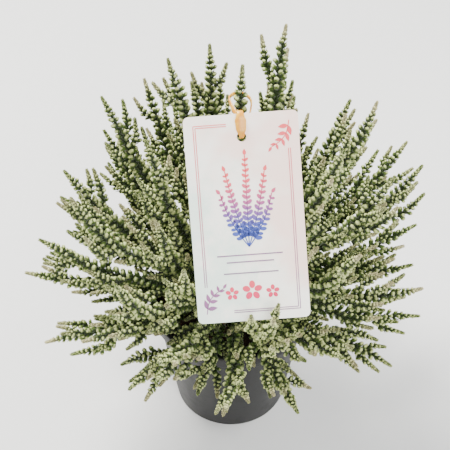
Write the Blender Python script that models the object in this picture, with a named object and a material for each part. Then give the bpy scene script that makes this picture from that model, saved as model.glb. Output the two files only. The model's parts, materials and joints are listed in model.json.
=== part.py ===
"""One potted heather: a velvety, silver-green heather in its nursery pot, with the label that hangs on it.

Metres, +Z up. The origin is the centre of the pot's foot, on the surface that the pot stands on.
The label is on the -Y side. Each leafy shoot, with its side spikes, is one solid, and so are the woody
crown, the compost, the pot, the label's card and the elastic band that ties the card to a shoot.
"""

import math

import bmesh
import bpy
import numpy as np
from mathutils import Matrix

# The gap between pieces that touch on the real thing
GAP = 0.0003

# Pot: a thin tapered nursery pot with a turned rim, a stacking ledge and a foot with drain holes
POT_HEIGHT = 0.093
POT_TOP_RADIUS = 0.0525
POT_FOOT_RADIUS = 0.0375
POT_WALL = 0.0012
RIM_HEIGHT = 0.0085
RIM_STAND_OUT = 0.0032
LEDGE_HEIGHT = 0.0075
LEDGE_STEP = 0.0016
EDGE_SOFTNESS = 0.0008
FOOT_RING_WIDTH = 0.0065
FOOT_RISE = 0.0025
FOOT_PAD_RADIUS = 0.012
DRAIN_HOLES = 6
DRAIN_HOLE_RADIUS = 0.0032
POT_SIDES = 32

# Compost: it fills the pot to a little under the rim
COMPOST_TOP = POT_HEIGHT - 0.011
COMPOST_RELIEF = 0.0011
COMPOST_EDGE_GAP = 0.0012
COMPOST_RINGS = (0.2, 0.42, 0.64, 0.84)
COMPOST_SEED = 4

# Woody crown: a short trunk, its limbs, and a twig to each leafy shoot
TRUNK_RADIUS = 0.0062
TRUNK_DEPTH = 0.016
TRUNK_STAND_OUT = 0.002
HEART = (0, 0, COMPOST_TOP + 0.003)
LIMBS = 7
LIMB_LENGTH = 0.013
LIMB_TILT = math.radians(42)
LIMB_RADIUS = 0.0029
TWIG_RADIUS = 0.0013
TWIG_END_LENGTH = 0.004

# Leafy shoots: they start at a distance from the heart of the crown and fan out by the golden angle
SHOOTS = 50
SHOOT_SEED = 9
GOLDEN_ANGLE = math.pi * (3 - math.sqrt(5))
LEAFY_FROM = (0.020, 0.028)
MIDDLE_LENGTH = 0.166
OUTER_LENGTH = 0.096
WIDEST_TILT = math.radians(98)
START_TILT_SHARE = 0.76
UPRIGHT_SHARE = 0.30
UPRIGHT_TILTS = (math.radians(45), math.radians(85))
TIP_LIFT = math.radians(22)
SWAY = 0.16
SIDE_SPIKES = (2, 3)
SIDE_STRETCH = (0.14, 0.70)
SIDE_LENGTHS = (0.020, 0.040)
SIDE_SHORTEST = 0.018
SIDE_LEAVING_ANGLE = math.radians(50)
SIDE_SPREAD = 0.10
SIDE_LIFT = 0.12
SIDE_APART = 0.0085
PATH_STEP = 0.003
CLEARANCE = 0.0007
MAIN_TRIES = 90
SIDE_TRIES = 40

# The spike's outline: how far its buds stand out, at distances from the tip, and the row pitch of the buds
SPIKE_DISTANCES = (0.0, 0.003, 0.009, 0.017, 0.034, 0.060)
SPIKE_RADII = (0.0003, 0.0011, 0.0018, 0.0030, 0.0041, 0.0046)
TIP_CONE = 0.008
END_VALLEY = 0.85
LEAF_START_RADIUS = 0.0019
MAIN_START_LENGTH = 0.024
SIDE_START_LENGTH = 0.016
BUD_VALLEY = 0.46
BUD_RISE = 0.0014
ROW_PITCH = 0.0079
BUD_COLUMNS = 4

# Label: a stiff card that leans back in the shoots, with a punched hole and an elastic band
CARD_WIDTH = 0.062
CARD_LENGTH = 0.114
CARD_THICKNESS = 0.0006
CARD_CORNER = 0.003
CARD_HOLE_RADIUS = 0.0026
CARD_HOLE_FROM_TOP = 0.0125
CARD_LEAN = math.radians(37)
CARD_TURN = math.radians(4.2)
CARD_TOP = (0.004, -0.012, 0.257)
CARD_CORNER_POINTS = 6
BAND_THICKNESS = 0.0009
BAND_WIDE = 0.0062
BAND_NARROW = 0.0026
BAND_STANDOFF = 0.0013
BAND_SAMPLES = 4
TIED_SHOOT_BEHIND = 0.0135
TIED_LOOP_RADIUS = 0.0060


def clear_scene():
    for obj in list(bpy.data.objects):
        bpy.data.objects.remove(obj)


def material(name, colour, roughness):
    made = bpy.data.materials.new(name)
    made.use_nodes = True
    shader = made.node_tree.nodes["Principled BSDF"]
    shader.inputs["Base Color"].default_value = (*colour, 1)
    shader.inputs["Roughness"].default_value = roughness
    shader.inputs["Metallic"].default_value = 0
    return made


def object_of(name, points, faces, finish=None):
    """A mesh object in the scene, made of points and faces."""
    mesh = bpy.data.meshes.new(name)
    mesh.from_pydata([tuple(p) for p in points], [], faces)
    mesh.update()
    obj = bpy.data.objects.new(name, mesh)
    bpy.context.scene.collection.objects.link(obj)
    if finish:
        mesh.materials.append(finish)
    return obj


def join_pieces(body, pieces):
    """Joins the pieces to the body by one Boolean union, applies it and removes them.

    The studded surfaces cross in many short edges, which the MANIFOLD solver closes and EXACT doesn't.
    """
    group = bpy.data.collections.new(body.name + "_pieces")
    bpy.context.scene.collection.children.link(group)
    for piece in pieces:
        bpy.context.scene.collection.objects.unlink(piece)
        group.objects.link(piece)
    union = body.modifiers.new("Union", "BOOLEAN")
    union.operation = "UNION"
    union.operand_type = "COLLECTION"
    union.collection = group
    union.solver = "MANIFOLD"
    graph = bpy.context.evaluated_depsgraph_get()
    joined = bpy.data.meshes.new_from_object(body.evaluated_get(graph))
    body.modifiers.clear()
    body.data = joined
    for piece in pieces:
        bpy.data.objects.remove(piece)
    bpy.data.collections.remove(group)


def smooth(share):
    """An ease from 0 to 1 with level ends."""
    share = min(1.0, max(0.0, share))
    return share * share * (3 - 2 * share)


def unit(vector):
    return vector / np.linalg.norm(vector)


def heading(tilt, azimuth):
    """The direction that leans from the vertical by tilt, towards azimuth."""
    return np.array(
        (
            math.sin(tilt) * math.cos(azimuth),
            math.sin(tilt) * math.sin(azimuth),
            math.cos(tilt),
        )
    )


# Pot and compost


def wall_radius(height):
    """The outer radius of the pot's plain tapered wall at a height."""
    under_ledge = POT_TOP_RADIUS - RIM_STAND_OUT - LEDGE_STEP
    top = POT_HEIGHT - RIM_HEIGHT - LEDGE_HEIGHT
    return POT_FOOT_RADIUS + (under_ledge - POT_FOOT_RADIUS) * height / top


def pot_profile():
    """The closed section of the pot, from the middle underneath, out and up, over the rim and down inside."""
    rim = POT_HEIGHT - RIM_HEIGHT
    ledge = rim - LEDGE_HEIGHT
    neck = POT_TOP_RADIUS - RIM_STAND_OUT
    ring = POT_FOOT_RADIUS - FOOT_RING_WIDTH
    soft = EDGE_SOFTNESS
    return [
        (0, 0),
        (FOOT_PAD_RADIUS, 0),
        (FOOT_PAD_RADIUS + soft, FOOT_RISE),
        (ring - soft, FOOT_RISE),
        (ring, 0),
        (POT_FOOT_RADIUS - soft, 0),
        (wall_radius(soft), soft),
        (wall_radius(ledge), ledge),
        (neck - soft / 2, ledge + soft),
        (neck, rim),
        (POT_TOP_RADIUS - soft, rim),
        (POT_TOP_RADIUS, rim + soft),
        (POT_TOP_RADIUS, POT_HEIGHT - soft),
        (POT_TOP_RADIUS - soft, POT_HEIGHT),
        (neck + soft / 2 - POT_WALL / 2, POT_HEIGHT),
        (neck - POT_WALL, rim),
        (neck - POT_WALL - soft / 2, ledge + soft),
        (wall_radius(ledge) - POT_WALL, ledge),
        (wall_radius(FOOT_RISE) - POT_WALL, FOOT_RISE + POT_WALL),
        (0, FOOT_RISE + POT_WALL),
    ]


def turned(name, profile, sides, finish):
    """A closed solid turned round Z from a section whose first and last points lie on the axis."""
    points = [(0, 0, profile[0][1])]
    for radius, height in profile[1:-1]:
        for k in range(sides):
            angle = 2 * math.pi * k / sides
            points.append((radius * math.cos(angle), radius * math.sin(angle), height))
    points.append((0, 0, profile[-1][1]))
    rings = len(profile) - 2
    last = len(points) - 1
    faces = []
    for k in range(sides):
        after = (k + 1) % sides
        faces.append((0, 1 + after, 1 + k))
        for ring in range(rings - 1):
            low = 1 + ring * sides
            high = low + sides
            faces.append((low + k, low + after, high + after, high + k))
        end = 1 + (rings - 1) * sides
        faces.append((end + k, end + after, last))
    return object_of(name, points, faces, finish)


def make_pot(finish):
    """The pot, with its drain holes cut through the floor between the foot ring and the middle pad.

    The MANIFOLD solver closes these cuts, where EXACT leaves three edges open.
    """
    pot = turned("pot", pot_profile(), POT_SIDES, finish)
    ring_radius = (FOOT_PAD_RADIUS + POT_FOOT_RADIUS - FOOT_RING_WIDTH) / 2
    cutters = []
    for k in range(DRAIN_HOLES):
        angle = 2 * math.pi * (k + 0.5) / DRAIN_HOLES
        bpy.ops.mesh.primitive_cylinder_add(
            vertices=8,
            radius=DRAIN_HOLE_RADIUS,
            depth=4 * FOOT_RISE,
            location=(ring_radius * math.cos(angle), ring_radius * math.sin(angle), FOOT_RISE),
        )
        cutters.append(bpy.context.object)
    for cutter in cutters:
        cutter.display_type = "WIRE"
        cutter.hide_render = True
        cut = pot.modifiers.new("Drain hole", "BOOLEAN")
        cut.operation = "DIFFERENCE"
        cut.solver = "MANIFOLD"
        cut.object = cutter
    pot.data.set_sharp_from_angle(angle=math.radians(35))


def compost_sections():
    """The compost's section in three stretches: up the trunk's hole, over the top, and down the wall."""
    hole = TRUNK_RADIUS + GAP
    hole_floor = COMPOST_TOP - TRUNK_DEPTH - GAP
    ledge = POT_HEIGHT - RIM_HEIGHT - LEDGE_HEIGHT
    inside = POT_WALL + GAP
    under = FOOT_RISE + inside
    edge = POT_TOP_RADIUS - RIM_STAND_OUT - inside - COMPOST_EDGE_GAP
    below_ledge = ledge - EDGE_SOFTNESS
    return (
        [(0, hole_floor), (hole, hole_floor), (hole, COMPOST_TOP)],
        [(hole + (edge - hole) * share, COMPOST_TOP) for share in COMPOST_RINGS],
        [
            (edge, COMPOST_TOP),
            (wall_radius(below_ledge) - inside, below_ledge),
            (wall_radius(under) - inside, under),
            (0, under),
        ],
    )


def make_compost(finish):
    """The compost, with a crumbly top and one plain hole for the trunk."""
    hole, top, wall = compost_sections()
    compost = turned("compost", (hole + top + wall)[::-1], POT_SIDES, finish)
    random = np.random.default_rng(COMPOST_SEED)
    first = 1 + (len(wall) - 1) * POT_SIDES
    for vertex in compost.data.vertices[first : first + len(top) * POT_SIDES]:
        vertex.co.z += COMPOST_RELIEF * random.uniform(-1, 1)


# How the shoots grow


def spike_radius(from_tip, from_start, start_length):
    """How far the buds stand out from the stem: they grow from its start, and shrink towards its tip."""
    by_tip = float(np.interp(from_tip, SPIKE_DISTANCES, SPIKE_RADII))
    by_start = LEAF_START_RADIUS + (SPIKE_RADII[-1] - LEAF_START_RADIUS) * smooth(from_start / start_length)
    return min(by_tip, by_start)


def card_frame():
    """The card's middle, and its directions to the right, up the card, and out of its printed face."""
    lean = np.array((0, math.sin(CARD_LEAN), math.cos(CARD_LEAN)))
    right = np.array((1.0, 0, 0)) * math.cos(CARD_TURN) + lean * math.sin(CARD_TURN)
    up = lean * math.cos(CARD_TURN) - np.array((1.0, 0, 0)) * math.sin(CARD_TURN)
    out = np.cross(right, up)
    return np.array(CARD_TOP) - up * CARD_LENGTH / 2, right, up, out


def limb_ends():
    """The direction and the end of each limb of the crown."""
    headings = [heading(0, 0)]
    headings += [heading(LIMB_TILT, 2 * math.pi * k / (LIMBS - 1)) for k in range(LIMBS - 1)]
    return headings, [np.array(HEART) + LIMB_LENGTH * way for way in headings]


def main_path(leafy_from, length, tilt, azimuth, lift, sways, phase):
    """The line of a leafy shoot: it rises steeply, arches out and turns up again at its tip."""
    steps = round(length / PATH_STEP)
    low, high = UPRIGHT_TILTS
    upright = UPRIGHT_SHARE * (1 - smooth((tilt - low) / (high - low)))
    points = [np.array(HEART) + leafy_from * heading(tilt * START_TILT_SHARE, azimuth)]
    for step in range(steps):
        share = (step + 0.5) / steps
        lean = tilt * (START_TILT_SHARE + (1 - START_TILT_SHARE) * smooth(share / 0.45))
        lean -= (lift + upright * tilt) * smooth((share - 0.35) / 0.5)
        drift = sways[0] * math.sin(5.0 * share + phase) + sways[1] * math.cos(4.0 * share + 2 * phase)
        way = unit(heading(lean, azimuth) + share * drift)
        points.append(points[-1] + PATH_STEP * way)
    return np.array(points)


def twig_path(leafy):
    """The line of the bare twig that carries a leafy shoot, from the limb that points nearest to it."""
    headings, ends = limb_ends()
    way = unit(leafy[0] - np.array(HEART))
    limb = int(np.argmax([way @ other for other in headings]))
    along = unit(leafy[1] - leafy[0])
    bend = leafy[0] - along * TWIG_END_LENGTH
    return np.array([ends[limb], (ends[limb] + bend) / 2, bend, leafy[0] - along * GAP])


def side_path(parent, at, length, around):
    """The line of a side spike: it leaves its parent's line at a slant, then runs up beside it."""
    along = unit(parent[at + 1] - parent[at - 1])
    level = (0.0, 0.0, 1.0) if abs(along[2]) < 0.9 else (1.0, 0.0, 0.0)
    across = unit(np.cross(along, level))
    outward = across * math.cos(around) + np.cross(along, across) * math.sin(around)
    start = along * math.cos(SIDE_LEAVING_ANGLE) + outward * math.sin(SIDE_LEAVING_ANGLE)
    steps = round(length / PATH_STEP)
    points = [parent[at]]
    for step in range(steps):
        beside = min(at + step, len(parent) - 2)
        follow = unit(parent[beside + 1] - parent[beside]) + outward * SIDE_SPREAD
        follow[2] += SIDE_LIFT
        turned_up = smooth((step + 0.5) / steps / 0.7)
        way = unit(start * (1 - turned_up) + unit(follow) * turned_up)
        points.append(points[-1] + PATH_STEP * way)
    return np.array(points)


def radii_along(path, start_length=MAIN_START_LENGTH):
    """The room that each point of a leafy line takes up."""
    run = np.arange(len(path)) * PATH_STEP
    return np.array([spike_radius(run[-1] - done, done, start_length) for done in run])


class Room:
    """What is already placed: no new leafy point may come nearer to it than the clearance."""

    def __init__(self):
        self.leafy = np.empty((0, 3))
        self.leafy_radii = np.empty(0)
        self.owners = np.empty(0, dtype=int)
        self.middle, self.right, self.up, self.out = card_frame()

    def add(self, points, radii, owner):
        self.leafy = np.vstack((self.leafy, points))
        self.leafy_radii = np.append(self.leafy_radii, radii)
        self.owners = np.append(self.owners, np.full(len(points), owner))

    def spare(self, points, radii, owner):
        """The least gap between these points and everything placed, save what has the same owner."""
        others = self.owners != owner
        far = np.linalg.norm(points[:, None] - self.leafy[others][None], axis=2)
        gap = (far - radii[:, None] - self.leafy_radii[others][None]).min()
        return min(gap, self.gap_to_card(points, radii), self.gap_to_pot(points, radii))

    def gap_to_card(self, points, radii):
        from_middle = points - self.middle
        over_side = np.maximum(np.abs(from_middle @ self.right) - CARD_WIDTH / 2, 0)
        over_end = np.maximum(np.abs(from_middle @ self.up) - CARD_LENGTH / 2, 0)
        off_face = np.abs(from_middle @ self.out) - CARD_THICKNESS / 2
        return (np.sqrt(over_side**2 + over_end**2 + off_face**2) - radii).min()

    def gap_to_pot(self, points, radii):
        """The gap to the rim, which is taken as a round bead, to the wall below it, and to the compost."""
        across = np.hypot(points[:, 0], points[:, 1])
        height = points[:, 2]
        bead = RIM_STAND_OUT / 2 + CLEARANCE
        from_bead = across - POT_TOP_RADIUS + RIM_STAND_OUT / 2
        gap = (np.hypot(from_bead, height - POT_HEIGHT + bead / 2) - radii - bead).min()
        low = height < POT_HEIGHT
        gap = min(gap, (np.abs(from_bead) - radii - 2 * bead)[low].min(initial=1))
        over = across < POT_TOP_RADIUS
        return min(gap, (height - COMPOST_TOP - COMPOST_RELIEF - radii)[over].min(initial=1))


def tied_path():
    """The shoot that carries the label: it rises behind the card and leans back a little at its tip."""
    start = np.array(HEART) + np.array((0.001, -0.006, LEAFY_FROM[0]))
    before = start + np.array((0, -0.002, 0.030))
    through = np.array(CARD_TOP) + np.array((0, TIED_SHOOT_BEHIND, -0.014))
    tip = through + np.array((0.0015, 0.0045, 0.034))
    knots = [start - (before - start), start, before, through, tip, tip + (tip - through)]
    fine = []
    for k in range(1, 4):
        fine += [catmull(knots[k - 1 : k + 3], share) for share in np.arange(0, 1, 0.02)]
    run = np.append(0, np.cumsum(np.linalg.norm(np.diff(fine, axis=0), axis=1)))
    wanted = np.arange(0, run[-1], PATH_STEP)
    return np.column_stack([np.interp(wanted, run, np.array(fine)[:, axis]) for axis in range(3)])


def catmull(four, share):
    """A point of the smooth curve through the middle two of four points."""
    a, b, c, d = four
    return 0.5 * (
        2 * b
        + (c - a) * share
        + (2 * a - 5 * b + 4 * c - d) * share**2
        + (3 * b - 3 * c + d - a) * share**3
    )


def grow_side_spikes(room, random, main, owner):
    """The side spikes of one shoot, each turned round its parent to where it has most room."""
    sides = []
    count = SIDE_SPIKES[owner % 2]
    for number in range(count):
        best = None
        for _ in range(SIDE_TRIES):
            share = (number + random.uniform(0.05, 0.95)) / count
            at = round(len(main) * (SIDE_STRETCH[0] + (SIDE_STRETCH[1] - SIDE_STRETCH[0]) * share))
            left = (len(main) - at) * PATH_STEP
            length = min(random.uniform(*SIDE_LENGTHS), left - TIP_CONE)
            path = side_path(main, at, length, random.uniform(0, 2 * math.pi))
            if length < SIDE_SHORTEST:
                continue
            radii = radii_along(path, SIDE_START_LENGTH)
            apart = np.linalg.norm(path[6:, None] - np.vstack([main, *sides])[None], axis=2).min()
            spare = room.spare(path[1:], radii[1:], owner)
            score = min(spare, 0.01) + 1.5 * min(apart, 0.02)
            if spare > CLEARANCE and apart > SIDE_APART and (best is None or score > best[0]):
                best = (score, path)
        if best:
            sides.append(best[1])
            room.add(best[1], radii_along(best[1], SIDE_START_LENGTH), owner)
    return sides


def grow_main(room, random, tilt, azimuth, owner):
    """One leafy line near its place in the golden-angle fan, or nothing where there is no room for it."""
    for attempt in range(MAIN_TRIES):
        loosen = 0.2 + attempt / 30
        lean = tilt + random.uniform(-0.07, 0.07) * loosen
        turn = azimuth + random.uniform(-0.10, 0.10) * loosen / max(0.35, math.sin(tilt))
        length = MIDDLE_LENGTH + (OUTER_LENGTH - MIDDLE_LENGTH) * (tilt / WIDEST_TILT) ** 1.3
        length *= random.uniform(0.86, 1.08) * (1 - 0.005 * attempt)
        lift = TIP_LIFT * random.uniform(0.3, 1.5) * smooth(tilt / WIDEST_TILT)
        sways = random.uniform(-SWAY, SWAY, (2, 3))
        leafy_from = random.uniform(*LEAFY_FROM)
        phase = random.uniform(0, 2 * math.pi)
        path = main_path(leafy_from, length, lean, turn, lift, sways, phase)
        radii = radii_along(path)
        if room.spare(path, radii, owner) > CLEARANCE:
            room.add(path, radii, owner)
            return path
    return None


def grow_shoots():
    """The line of each shoot's leading spike and those of its side spikes. The first carries the label."""
    random = np.random.default_rng(SHOOT_SEED)
    room = Room()
    tied = tied_path()
    band = band_line(tied)
    room.add(band, np.full(len(band), BAND_WIDE / 2), -1)
    room.add(tied, radii_along(tied), 0)
    mains = [tied]
    for number in range(1, SHOOTS):
        tilt = math.acos(1 - (1 - math.cos(WIDEST_TILT)) * (number + 0.5) / SHOOTS)
        path = grow_main(room, random, tilt, number * GOLDEN_ANGLE, len(mains))
        if path is not None:
            mains.append(path)
    shoots = [(tied, [])]
    for owner in range(1, len(mains)):
        shoots.append((mains[owner], grow_side_spikes(room, random, mains[owner], owner)))
    return shoots


# Leafy shoots and the woody crown


def frames_along(path, stations):
    """The points of a line at shares of its length, its direction there, and two directions across it."""
    run = np.append(0, np.cumsum(np.linalg.norm(np.diff(path, axis=0), axis=1)))
    wanted = np.array(stations) * run[-1]
    points = np.column_stack([np.interp(wanted, run, path[:, axis]) for axis in range(3)])
    tangents = np.gradient(points, axis=0)
    tangents /= np.linalg.norm(tangents, axis=1)[:, None]
    across = np.cross(tangents[0], (0.31, 0.95, 0.1))
    frames = []
    for point, tangent in zip(points, tangents):
        across = unit(across - tangent * (across @ tangent))
        frames.append((point, tangent, across, np.cross(tangent, across)))
    return frames


def tube_faces(rings, sides, studded=False):
    """The faces of a closed tube of rings, with its last ring drawn to a point that follows them.

    A studded tube's faces are split from valley to valley, so that each bud is a small pyramid.
    """
    faces = [tuple(range(sides - 1, -1, -1))]
    for ring in range(rings - 1):
        for k in range(sides):
            after = (k + 1) % sides
            a, b = ring * sides + k, ring * sides + after
            c, d = b + sides, a + sides
            if studded and (ring + k) % 2 == 0:
                faces += [(a, b, d), (b, c, d)]
            elif studded:
                faces += [(a, b, c), (a, c, d)]
            else:
                faces.append((a, b, c, d))
    tip = rings * sides
    low = (rings - 1) * sides
    faces += [(low + k, low + (k + 1) % sides, tip) for k in range(sides)]
    return faces


def leafy_spike(name, path, start_length, finish=None):
    """A spike of opposite pairs of buds, each pair turned a quarter from the last, raised by rule."""
    length = (len(path) - 1) * PATH_STEP
    rows = round((length - TIP_CONE) / ROW_PITCH) + 1
    stations = np.append(np.linspace(0, 1 - TIP_CONE / length, rows), 1)
    frames = frames_along(path, stations)
    points = []
    for row, (point, tangent, across, other) in enumerate(frames[:-1]):
        done = length * stations[row]
        out = spike_radius(length - done, done, start_length)
        at_end = row in (0, rows - 1)
        for k in range(BUD_COLUMNS):
            angle = 2 * math.pi * k / BUD_COLUMNS
            is_bud = (row + k) % 2 == 0
            ray = across * math.cos(angle) + other * math.sin(angle)
            rise = 0.0 if at_end or not is_bud else BUD_RISE
            share = 1 if is_bud else END_VALLEY if at_end else BUD_VALLEY
            points.append(point + ray * out * share + tangent * rise)
    points.append(frames[-1][0])
    faces = [(0, 3, 1), (1, 3, 2), *tube_faces(rows, BUD_COLUMNS, studded=True)[1:]]
    return object_of(name, points, faces, finish)


def make_shoots(shoots, finish):
    """One solid for each leafy shoot: its leading spike, with its side spikes fused in."""
    for number, (path, sides) in enumerate(shoots, 1):
        body = leafy_spike(f"shoot_{number:02d}", path, MAIN_START_LENGTH, finish)
        pieces = [leafy_spike(f"side_{k}", side, SIDE_START_LENGTH) for k, side in enumerate(sides)]
        if pieces:
            join_pieces(body, pieces)


def twig(name, path, start_radius, end_radius, sides, steps, finish=None):
    """A plain tapered twig with a blunt end."""
    frames = frames_along(path, np.linspace(0, 1, steps + 1))
    points = []
    for step, (point, _, across, other) in enumerate(frames):
        radius = start_radius + (end_radius - start_radius) * step / steps
        for k in range(sides):
            angle = 2 * math.pi * k / sides
            points.append(point + radius * (across * math.cos(angle) + other * math.sin(angle)))
    faces = tube_faces(steps + 1, sides)[: -sides]
    faces.append(tuple(steps * sides + k for k in range(sides)))
    return object_of(name, points, faces, finish)


def make_crown(shoots, finish):
    """The woody crown: trunk, limbs and the bare twigs that end just short of the leafy shoots."""
    heart = np.array(HEART)
    low = np.array((0, 0, COMPOST_TOP - TRUNK_DEPTH))
    trunk_line = np.array([low, heart + np.array((0, 0, TRUNK_STAND_OUT))])
    trunk = twig("woody_crown", trunk_line, TRUNK_RADIUS * 0.97, TRUNK_RADIUS * 0.85, 9, 1, finish)
    pieces = []
    for k, (way, end) in enumerate(zip(*limb_ends())):
        line = np.array([heart - way * LIMB_RADIUS, (heart + end) / 2, end + way * TWIG_RADIUS])
        pieces.append(twig(f"limb_{k}", line, LIMB_RADIUS, LIMB_RADIUS * 0.72, 6, 2))
    for k, (path, _) in enumerate(shoots):
        pieces.append(twig(f"twig_{k}", twig_path(path), TWIG_RADIUS, TWIG_RADIUS * 0.9, 4, 2))
    join_pieces(trunk, pieces)


# Label


def on_card(across, along, off=0.0):
    """A point by its place on the card: to the right of its middle, up it, and out from its printed face."""
    middle, right, up, out = card_frame()
    return middle + right * across + up * along + out * off


def card_outline():
    """The rounded rectangle of the card, anticlockwise round its middle."""
    points = []
    for right, up, first in [(1, -1, -90), (1, 1, 0), (-1, 1, 90), (-1, -1, 180)]:
        for k in range(CARD_CORNER_POINTS):
            angle = math.radians(first + 90 * k / (CARD_CORNER_POINTS - 1))
            x = right * (CARD_WIDTH / 2 - CARD_CORNER) + CARD_CORNER * math.cos(angle)
            y = up * (CARD_LENGTH / 2 - CARD_CORNER) + CARD_CORNER * math.sin(angle)
            points.append((x, y))
    return points


def make_card(finish):
    """The card: a rounded rectangle with a punched hole near its top edge, leaning back in the shoots."""
    outline = card_outline()
    count = len(outline)
    points = [(x, y, side * CARD_THICKNESS / 2) for side in (-1, 1) for x, y in outline]
    faces = [tuple(range(count))[::-1], tuple(range(count, 2 * count))]
    faces += [(k, (k + 1) % count, (k + 1) % count + count, k + count) for k in range(count)]
    card = object_of("label_card", points, faces, finish)
    middle, right, up, out = card_frame()
    rows = [(*ways, place) for *ways, place in zip(right, up, out, middle)]
    placed = Matrix([*rows, (0, 0, 0, 1)])
    card.matrix_world = placed
    bpy.ops.mesh.primitive_cylinder_add(vertices=16, radius=CARD_HOLE_RADIUS, depth=10 * CARD_THICKNESS)
    punch = bpy.context.object
    punch.matrix_world = placed @ Matrix.Translation((0, CARD_LENGTH / 2 - CARD_HOLE_FROM_TOP, 0))
    punch.display_type = "WIRE"
    punch.hide_render = True
    hole = card.modifiers.new("Punched hole", "BOOLEAN")
    hole.operation = "DIFFERENCE"
    hole.object = punch


def band_knots(tied):
    """The band's line, with the direction of its width and how wide it is, at the points that shape it.

    It comes out of the hole, runs up the card's face and over its top edge, goes round the tied shoot
    behind the card, and comes back through the hole.
    """
    _, right, up, out = card_frame()
    top = CARD_LENGTH / 2
    hole = top - CARD_HOLE_FROM_TOP
    level = on_card(0, top - 0.004)[2]
    shoot = tied[int(np.argmin(np.abs(tied[:, 2] - level)))]
    side = np.array((TIED_LOOP_RADIUS, 0, 0))
    behind = np.array((0, TIED_LOOP_RADIUS, 0))
    rise = np.array((0, 0, 0.0015))
    stem = np.array((0, 0, 1.0))
    return [
        (on_card(0, hole + 0.0004, 0.0007), right, BAND_NARROW),
        (on_card(0, hole + 0.0045, BAND_STANDOFF), right, BAND_WIDE * 0.9),
        (on_card(0, hole + 0.0085, BAND_STANDOFF), right, BAND_WIDE),
        (on_card(0, top - 0.0008, BAND_STANDOFF), right, BAND_WIDE * 0.7),
        (on_card(0, top + BAND_STANDOFF, -0.0002), right, BAND_WIDE * 0.5),
        (on_card(-0.0022, top + 0.0002, -0.0036), unit(right + stem), BAND_NARROW),
        (shoot - side + rise, stem, BAND_NARROW),
        (shoot + behind, stem, BAND_NARROW),
        (shoot + side - rise, stem, BAND_NARROW),
        (on_card(0.0022, hole + 0.0030, -0.0042), unit(right + stem), BAND_NARROW),
        (on_card(0, hole - 0.0003, -0.0012), right, BAND_NARROW),
    ]


def band_rings(tied):
    """Rings along the whole band: middle, width direction and width."""
    knots = band_knots(tied)
    count = len(knots)
    rings = []
    for k in range(count):
        four = [knots[(k + step) % count] for step in (-1, 0, 1, 2)]
        for step in range(BAND_SAMPLES):
            share = step / BAND_SAMPLES
            middle = catmull([knot[0] for knot in four], share)
            width_way = unit(four[1][1] * (1 - share) + four[2][1] * share)
            width = four[1][2] * (1 - share) + four[2][2] * share
            rings.append((middle, width_way, width))
    return rings


def band_line(tied):
    """The middle line of the band."""
    return np.array([middle for middle, _, _ in band_rings(tied)])


def make_band(tied, finish):
    """The elastic band, one closed flat ring."""
    rings = band_rings(tied)
    count = len(rings)
    points = []
    for k, (middle, width_way, width) in enumerate(rings):
        tangent = unit(rings[(k + 1) % count][0] - rings[k - 1][0])
        wide = unit(width_way - tangent * (width_way @ tangent))
        thick = np.cross(tangent, wide)
        for across, deep in ((-1, -1), (1, -1), (1, 1), (-1, 1)):
            points.append(middle + wide * across * width / 2 + thick * deep * BAND_THICKNESS / 2)
    faces = []
    for k in range(count):
        low, high = k * 4, (k + 1) % count * 4
        for side in range(4):
            after = (side + 1) % 4
            faces.append((low + side, low + after, high + after, high + side))
    band = object_of("label_band", points, faces, finish)
    made = bmesh.new()
    made.from_mesh(band.data)
    bmesh.ops.recalc_face_normals(made, faces=made.faces)
    made.to_mesh(band.data)
    made.free()


def main():
    clear_scene()
    dark_plastic = material("pot_plastic", (0.035, 0.035, 0.034), 0.5)
    peat = material("compost", (0.030, 0.021, 0.014), 0.95)
    bark = material("bark", (0.13, 0.085, 0.055), 0.9)
    leaf = material("velvet_leaf", (0.36, 0.40, 0.27), 0.85)
    card = material("label_card", (0.90, 0.88, 0.80), 0.45)
    amber = material("label_band", (0.72, 0.47, 0.19), 0.4)
    make_pot(dark_plastic)
    make_compost(peat)
    shoots = grow_shoots()
    make_crown(shoots, bark)
    make_shoots(shoots, leaf)
    make_card(card)
    make_band(shoots[0][0], amber)


main()
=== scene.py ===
"""Looks of one potted heather: spikes of velvety, silver-green bead-like tufts over a dark nursery pot.

Metres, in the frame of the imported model. The shoots grow here by the same rule and the same random
draws as the solids, so each dressed shoot lies along its own solid and replaces it.
"""

import json
import math

import bmesh
import bpy
import numpy as np
from bpy.props import FloatProperty, FloatVectorProperty, IntProperty, PointerProperty
from mathutils import Matrix, Vector

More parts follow.
